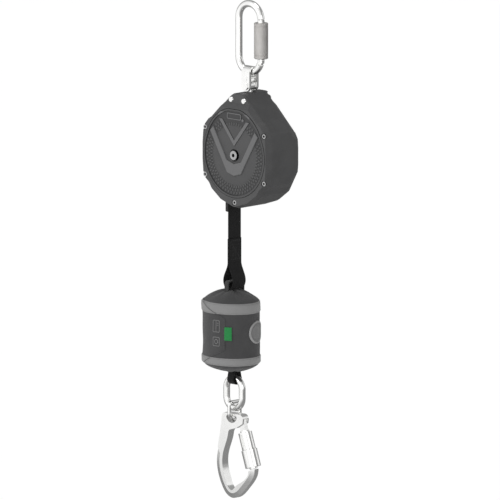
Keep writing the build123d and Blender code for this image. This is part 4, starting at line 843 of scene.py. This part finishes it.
def simulate(thing, limit):
    """Blows the bag up a little as cloth, pinned under its bands, and caps how far it moves."""
    scene = bpy.context.scene
    start = [v.co.copy() for v in thing.data.vertices]
    pins = thing.vertex_groups.new(name="pins")
    held = []
    for index, place in enumerate(start):
        under_band = any(low.z - 0.001 < place.z < high.z + 0.001 for low, high in (UPPER_BAND, LOWER_BAND))
        near_strap = hypot(place.x - LINE_X, place.y) < 0.019 and abs(place.z - POUCH_MID.z) > 0.05
        if under_band or near_strap:
            held.append(index)
    pins.add(held, 1.0, "REPLACE")
    cloth = thing.modifiers.new("cloth", "CLOTH")
    cloth.settings.quality = 6
    cloth.settings.mass = 0.2
    cloth.settings.tension_stiffness = 20
    cloth.settings.compression_stiffness = 20
    cloth.settings.shear_stiffness = 8
    cloth.settings.bending_stiffness = 1.2
    cloth.settings.use_pressure = True
    cloth.settings.uniform_pressure_force = 3.0
    cloth.settings.vertex_group_mass = "pins"
    cloth.settings.effector_weights.gravity = 0.0
    cloth.collision_settings.use_collision = False
    cloth.point_cache.frame_start = 1
    cloth.point_cache.frame_end = 20
    for step in range(1, 21):
        scene.frame_set(step)
    apply_modifiers(thing)
    for vertex, home in zip(thing.data.vertices, start):
        shift = vertex.co - home
        if shift.length > limit:
            vertex.co = home + shift.normalized() * limit
    scene.frame_set(1)


class Surface:
    """The pouch's side, read by azimuth and height."""

    def __init__(self, thing):
        graph = bpy.context.evaluated_depsgraph_get()
        self.tree = BVHTree.FromObject(thing, graph)

    def at(self, turn, height, proud):
        way = Vector((cos(turn), sin(turn), 0.0))
        hit = self.tree.ray_cast(Vector((POUCH_MID.x, POUCH_MID.y, height)), way)
        radius = (hit[0] - Vector((POUCH_MID.x, POUCH_MID.y, height))).length
        facing = Vector((cos(turn) / POUCH_A, sin(turn) / POUCH_B, 0.0)).normalized()
        return Vector((POUCH_MID.x, POUCH_MID.y, height)) + way * radius + facing * proud


FLAP_EDGE = radians(-58.0)
FLAP_CORNER = radians(-127.0)
FLAP_ROOT = radians(-212.0)
FLAP_T = 0.0011


def flap_span(turn):
    """The flap's lowest and highest point at an azimuth."""
    low = LOWER_BAND[0].z - 0.0005
    high = UPPER_BAND[1].z + 0.0005
    if turn < FLAP_CORNER:
        return low, high
    part = (turn - FLAP_CORNER) / (FLAP_EDGE - FLAP_CORNER)
    return low + part * 0.0235, high - part * 0.0215


def flap_rise(turn, height):
    """How far the flap lifts what lies over it."""
    while turn > 0.0:
        turn -= 2 * pi
    if turn > FLAP_EDGE or turn < FLAP_ROOT:
        return 0.0
    low, high = flap_span(turn)
    inside = min(turn - FLAP_ROOT, FLAP_EDGE - turn) * POUCH_A
    inside = min(inside, height - low + 0.0012, high + 0.0012 - height)
    return FLAP_T * max(0.0, min(1.0, inside / 0.0012))


def skin(name, grid, material, closed=False):
    """A sheet with thickness from a grid of (inner, outer) points."""
    rows = len(grid)
    columns = len(grid[0])
    verts = []
    uvs = []
    for layer in (0, 1):
        for r in range(rows):
            for c in range(columns):
                verts.append(grid[r][c][layer])
                uvs.append(grid[r][c][2])
    faces = []
    size = rows * columns
    for r in range(rows - 1):
        for c in range(columns - (0 if closed else 1)):
            d = (c + 1) % columns
            a, b, e, f = r * columns + c, r * columns + d, (r + 1) * columns + d, (r + 1) * columns + c
            faces.append((a, f, e, b))
            faces.append((size + a, size + b, size + e, size + f))
    for c in range(columns - (0 if closed else 1)):
        d = (c + 1) % columns
        last = (rows - 1) * columns
        faces.append((c, d, size + d, size + c))
        faces.append((last + c, size + last + c, size + last + d, last + d))
    if not closed:
        for r in range(rows - 1):
            a, b = r * columns, (r + 1) * columns
            faces.append((a, size + a, size + b, b))
            a, b = a + columns - 1, b + columns - 1
            faces.append((a, b, size + b, size + a))
    return piece(name, verts, faces, material, uvs, crease_angle=50)


def band(name, node, surface):
    """A reflective band sewn round the pouch, over the flap's edge."""
    low, high = (corner.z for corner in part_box(node))
    columns = 240
    rows = 12
    grid = []
    for r in range(rows + 1):
        height = low + (high - low) * r / rows
        edge = min(r, rows - r) / 1.0
        crown = 0.0009 * min(1.0, 0.55 + 0.45 * edge)
        line = []
        for c in range(columns):
            turn = 2 * pi * c / columns
            rise = flap_rise(turn, height)
            line.append((surface.at(turn, height, rise + 0.0001), surface.at(turn, height, rise + crown),
                         (height - low - (high - low) / 2, turn * POUCH_A)))
        grid.append(line)
    ring = skin(name + "_tape", grid, BAND_WEB, closed=True)
    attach(ring, "pack")
    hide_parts(node)
    verts = []
    faces = []
    for height in (low + 0.0016, high - 0.0016):
        count = 200
        for n in range(count):
            a = 2 * pi * n / count
            b = 2 * pi * (n + 1) / count
            rise = 0.0010 + flap_rise(a, height)
            facing = Vector((cos(a), sin(a), 0.0))
            stitch_line(verts, faces, surface.at(a, height, rise),
                        surface.at(b, height, 0.0010 + flap_rise(b, height)), facing, length=0.001,
                        gap=0.0004, wide=0.00016, tall=0.00012)
    thread = piece(name + "_stitches", verts, faces, GREY_THREAD, [(v[0], v[2]) for v in verts])
    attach(thread, "pack")


def flap(surface):
    """The closing flap with its cut corners and its seam."""
    columns = 96
    rows = 40
    grid = []
    for r in range(rows + 1):
        line = []
        for c in range(columns + 1):
            turn = FLAP_EDGE + (FLAP_ROOT - FLAP_EDGE) * c / columns
            low, high = flap_span(turn)
            height = low + (high - low) * r / rows
            edge = min(r, rows - r, c * 1.5) / 2.0
            lift = FLAP_T * min(1.0, 0.6 + 0.4 * edge)
            line.append((surface.at(turn, height, 0.0001), surface.at(turn, height, lift),
                         (-turn * POUCH_A, height)))
        grid.append(line)
    leaf = skin("closing_flap", grid, FLAP_CLOTH)
    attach(leaf, "pack")
    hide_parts("pack_flap")
    verts = []
    faces = []
    add_seam(verts, faces, surface, [(radians(-99.0), -0.4395), (radians(-99.0), -0.4975)])
    inset = radians(2.2)
    add_seam(verts, faces, surface, [(FLAP_EDGE - inset, -0.4455), (FLAP_EDGE - inset, -0.4880)])
    add_seam(verts, faces, surface, [(FLAP_EDGE - inset, -0.4455), (radians(-92.0), -0.4365)])
    add_seam(verts, faces, surface, [(FLAP_EDGE - inset, -0.4880), (radians(-92.0), -0.4985)])
    thread = piece("flap_stitches", verts, faces, GREY_THREAD, [(v[0], v[2]) for v in verts])
    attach(thread, "pack")


def flap_edge_shade(surface):
    """Thin dark lines of painted shade where the flap's diagonal edges run under the bands."""
    lines = []
    for node in (UPPER_BAND, LOWER_BAND):
        points = []
        for n in range(25):
            turn = FLAP_CORNER + (FLAP_EDGE - FLAP_CORNER) * n / 24
            height = flap_span(turn)[1 if node is UPPER_BAND else 0]
            if node[0].z < height < node[1].z:
                points.append((turn, height))
        lines.append((points, False))
    # Painted shade: black lines along the band's step over the flap's edge
    edge_shade_lines = welt("flap_edge_shade", surface, lines, BLACK_THREAD, FLAP_T + 0.0009, 0.0003)
    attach(edge_shade_lines, "pack")


def add_seam(verts, faces, surface, ends):
    """A row of stitches over the flap between two places on the pouch."""
    (turn_a, height_a), (turn_b, height_b) = ends
    count = 18
    for n in range(count):
        first = (turn_a + (turn_b - turn_a) * n / count, height_a + (height_b - height_a) * n / count)
        last = (turn_a + (turn_b - turn_a) * (n + 1) / count,
                height_a + (height_b - height_a) * (n + 1) / count)
        facing = Vector((cos(first[0]), sin(first[0]), 0.0))
        stitch_line(verts, faces, surface.at(first[0], first[1], FLAP_T + 0.0001),
                    surface.at(last[0], last[1], FLAP_T + 0.0001), facing, length=0.0022, gap=0.0011,
                    wide=0.00022, tall=0.00016)


def welt(name, surface, outlines, material, proud, radius):
    """Raised outlines welded on the cloth, from lists of (azimuth, height) corners."""
    verts = []
    faces = []
    for points, closed in outlines:
        count = len(points)
        base = len(verts)
        for i, (turn, height) in enumerate(points):
            before = points[i - 1] if closed or i else points[i]
            after = points[(i + 1) % count] if closed or i < count - 1 else points[i]
            middle = surface.at(turn, height, proud)
            way = (surface.at(*after, proud) - surface.at(*before, proud)).normalized()
            facing = Vector((cos(turn) / POUCH_A, sin(turn) / POUCH_B, 0.0)).normalized()
            side = facing.cross(way).normalized()
            for k in range(WELT_SIDES):
                angle = 2 * pi * k / WELT_SIDES
                verts.append(middle + side * (radius * cos(angle)) + facing * (radius * 0.7 * sin(angle)))
        join_rows(faces, base, count, WELT_SIDES, closed)
    return piece(name, verts, faces, material)


def rounded_box(turn, height, wide, tall, corner, count=5):
    """A rounded rectangle on the pouch, as azimuths and heights; sizes in metres."""
    points = []
    for quarter, (sx, sz) in enumerate(((1, 1), (-1, 1), (-1, -1), (1, -1))):
        for k in range(count + 1):
            angle = pi / 2 * (quarter + k / count)
            across = sx * (wide / 2 - corner) + corner * cos(angle)
            up = sz * (tall / 2 - corner) + corner * sin(angle)
            points.append((turn + across / POUCH_B, height + up))
    return points


def round_line(turn, height, radius, count=40):
    """A circle on the pouch, as azimuths and heights."""
    return [(turn + radius * cos(2 * pi * k / count) / (POUCH_A * 0.985),
             height + radius * sin(2 * pi * k / count)) for k in range(count)]


def outlines(surface):
    """Two plain symbols welded on the flap: a folded sheet, and a ring in a square."""
    turn = radians(-79.0)
    first = [(rounded_box(turn, -0.4545, 0.0105, 0.0165, 0.0012), True),
             ([(turn, -0.4465), (turn, -0.4625)], False),
             ([(turn + 0.0016 / POUCH_B, -0.4500), (turn + 0.0040 / POUCH_B, -0.4500)], False),
             ([(turn + 0.0016 / POUCH_B, -0.4530), (turn + 0.0040 / POUCH_B, -0.4530)], False)]
    second = [(rounded_box(turn, -0.4765, 0.0105, 0.0125, 0.0012), True),
              (round_line(turn, -0.4765, 0.0030, 24), True)]
    marks = welt("flap_outlines", surface, first + second, WELT, FLAP_T, 0.0005)
    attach(marks, "pack")


def side_badge(surface):
    """The round blank patch: a woven disc in a moulded rim."""
    turn = radians(13.5)
    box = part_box("round_patch")
    height = (box[0].z + box[1].z) / 2 + 0.0012
    radius = (box[1].z - box[0].z) / 2
    around = 72
    rings = [(0.0, 0.0009), (0.25, 0.0009), (0.5, 0.0009), (0.66, 0.0009), (0.70, 0.0014), (0.74, 0.0009),
             (0.84, 0.0009)]
    disc = patch_rings("badge_disc", surface, turn, height, radius, rings, PATCH_GREY, around)
    rim_rings = [(0.82, 0.0003), (0.83, 0.0013), (0.86, 0.0018), (0.93, 0.0019), (0.98, 0.0016),
                 (1.0, 0.0008), (1.0, 0.0001)]
    rim = patch_rings("badge_rim", surface, turn, height, radius, rim_rings, PATCH_RIM, around)
    for part in (disc, rim):
        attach(part, "pack")
    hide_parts("round_patch")


def patch_rings(name, surface, turn, height, radius, rings, material, around):
    """A disc or ring laid on the pouch, from radii and how proud each stands."""
    verts = []
    uvs = []
    for scale, proud in rings:
        for n in range(around):
            angle = 2 * pi * n / around
            across = radius * scale * cos(angle)
            up = radius * scale * sin(angle)
            verts.append(surface.at(turn + across / (POUCH_A * 0.985), height + up, proud))
            uvs.append((across, up))
    faces = []
    join_rows(faces, 0, len(rings), around, capped=False)
    made = piece(name, verts, faces, material, uvs)
    clean = bmesh.new()
    clean.from_mesh(made.data)
    bmesh.ops.remove_doubles(clean, verts=clean.verts, dist=0.00001)
    clean.to_mesh(made.data)
    clean.free()
    return made


def green_tab(surface):
    """A blank green tab sewn in the flap's edge."""
    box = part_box("label_tab")
    low = box[0].z
    high = box[1].z
    start = FLAP_EDGE - 0.0012 / POUCH_B
    width = 0.0103
    columns = 14
    rows = 16
    grid = []
    for r in range(rows + 1):
        line = []
        for c in range(columns + 1):
            part = c / columns
            turn = start + width * part / POUCH_B
            height = low + (high - low) * r / rows
            edge = min(1.0, 0.4 + 0.6 * min(r, rows - r, columns - c) / 1.0)
            lift = 0.0004 + 0.0007 * sin(pi * 0.5 * part) + 0.00025 * sin(2.2 * pi * r / rows) * part
            line.append((surface.at(turn, height, lift), surface.at(turn, height, lift + 0.0008 * edge),
                         (width * part - width / 2, height - low)))
        grid.append(line)
    tab = skin("side_tab", grid, GREEN_TAPE)
    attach(tab, "pack")
    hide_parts("label_tab")


STRAP_SLACK = 0.008             # the strap's arch stands this far clear of the loop it passes through


def upper_strap():
    """The grey strap through the lifeline's loop."""
    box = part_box("pack_top_loop")
    wide = box[1].x - box[0].x
    thick = 0.0021
    reach = (box[1].y - box[0].y) / 2 - thick / 2
    top = box[1].z - thick / 2 + STRAP_SLACK
    foot = POUCH_PROFILE[5][1] - 0.006
    bend = 0.0042
    path = [Vector((LINE_X, -reach, foot))]
    for k in range(9):
        angle = pi - pi / 2 * k / 8
        path.append(Vector((LINE_X, -reach + bend + bend * cos(angle), top - bend + bend * sin(angle))))
    for k in range(1, 10):
        y = -reach + bend + (2 * (reach - bend)) * k / 10
        path.append(Vector((LINE_X, y, top - 0.0004 * sin(pi * k / 10))))
    for k in range(9):
        angle = pi / 2 - pi / 2 * k / 8
        path.append(Vector((LINE_X, reach - bend + bend * cos(angle), top - bend + bend * sin(angle))))
    path.append(Vector((LINE_X, reach, foot)))
    strap = tape("upper_strap", path, Vector((1.0, 0.0, 0.0)), wide, thick, GREY_WEB, ribs=6)
    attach(strap, "pack")
    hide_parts("pack_top_loop")


def lower_strap():
    """The black strap round the oval ring."""
    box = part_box("pack_bottom_loop")
    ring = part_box("oval_ring")
    wide = box[1].x - box[0].x
    thick = 0.0022
    rod = 0.00475
    centre = ring[1].z - rod
    bend = (box[1].y - box[0].y) / 2 - thick / 2
    top = POUCH_PROFILE[-6][1] + 0.004
    path = [Vector((LINE_X, -0.0034, top)), Vector((LINE_X, -0.0050, (top + centre) / 2 + 0.002))]
    for k in range(21):
        angle = pi + 0.25 + (pi - 0.5) * k / 20
        path.append(Vector((LINE_X, bend * cos(angle), centre + bend * sin(angle))))
    path.append(Vector((LINE_X, 0.0050, (top + centre) / 2 + 0.002)))
    path.append(Vector((LINE_X, 0.0034, top)))
    smooth = []
    for i, point in enumerate(path):
        smooth.append(point)
        if i + 1 < len(path) and (path[i + 1] - point).length > 0.004:
            smooth.append((point + path[i + 1]) / 2)
    strap = tape("lower_strap", smooth, Vector((1.0, 0.0, 0.0)), wide, thick, BLACK_WEB, ribs=8)
    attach(strap, "pack")
    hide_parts("pack_bottom_loop")


def absorber():
    """The tear webbing folded to and fro inside the pouch."""
    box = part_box("absorber_core")
    low, high = box
    folds = 12
    thick = 0.0026
    pitch = (high.x - low.x - thick) / folds
    reach_top = high.z - 0.003
    reach_low = low.z + 0.003
    path = []
    for n in range(folds + 1):
        x = low.x + thick / 2 + pitch * n
        ends = (reach_low, reach_top) if n % 2 == 0 else (reach_top, reach_low)
        for k in range(7):
            path.append(Vector((x, 0.0, ends[0] + (ends[1] - ends[0]) * k / 6)))
        if n < folds:
            way = 1 if n % 2 == 0 else -1
            for k in range(1, 6):
                angle = pi - pi * k / 6
                path.append(Vector((x + pitch / 2 + pitch / 2 * cos(angle), 0.0,
                                    ends[1] + way * 0.0028 * sin(angle))))
    width = high.y - low.y
    stack = tape("folded_webbing", path, ACROSS, width, thick, CREAM_WEB, ribs=4)
    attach(stack, "pack")
    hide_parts("absorber_core")


# ------------------------------------------------------------------ build
bpy.context.scene.view_settings.view_transform = "Standard"
make_camera()
make_world()
make_stage()
area_light("key", (-1.1, -3.2, 1.2), 1.8, 26.0)
area_light("front", (1.4, -3.0, -0.2), 1.6, 6.0)
area_light("top", (0.3, 0.2, 2.6), 1.6, 12.0)
area_light("back", (1.6, 2.6, 0.6), 1.6, 5.0)
area_light("right", (3.0, -0.5, 0.3), 1.6, 9.0)
dress_nodes()
panel_dashes()
lifeline()
sewn_end()
wound_coil()
bag = pouch()
side = Surface(bag)
band("band_top", "band_top", side)
band("band_bottom", "band_bottom", side)
flap(side)
flap_edge_shade(side)
outlines(side)
side_badge(side)
green_tab(side)
upper_strap()
lower_strap()
absorber()
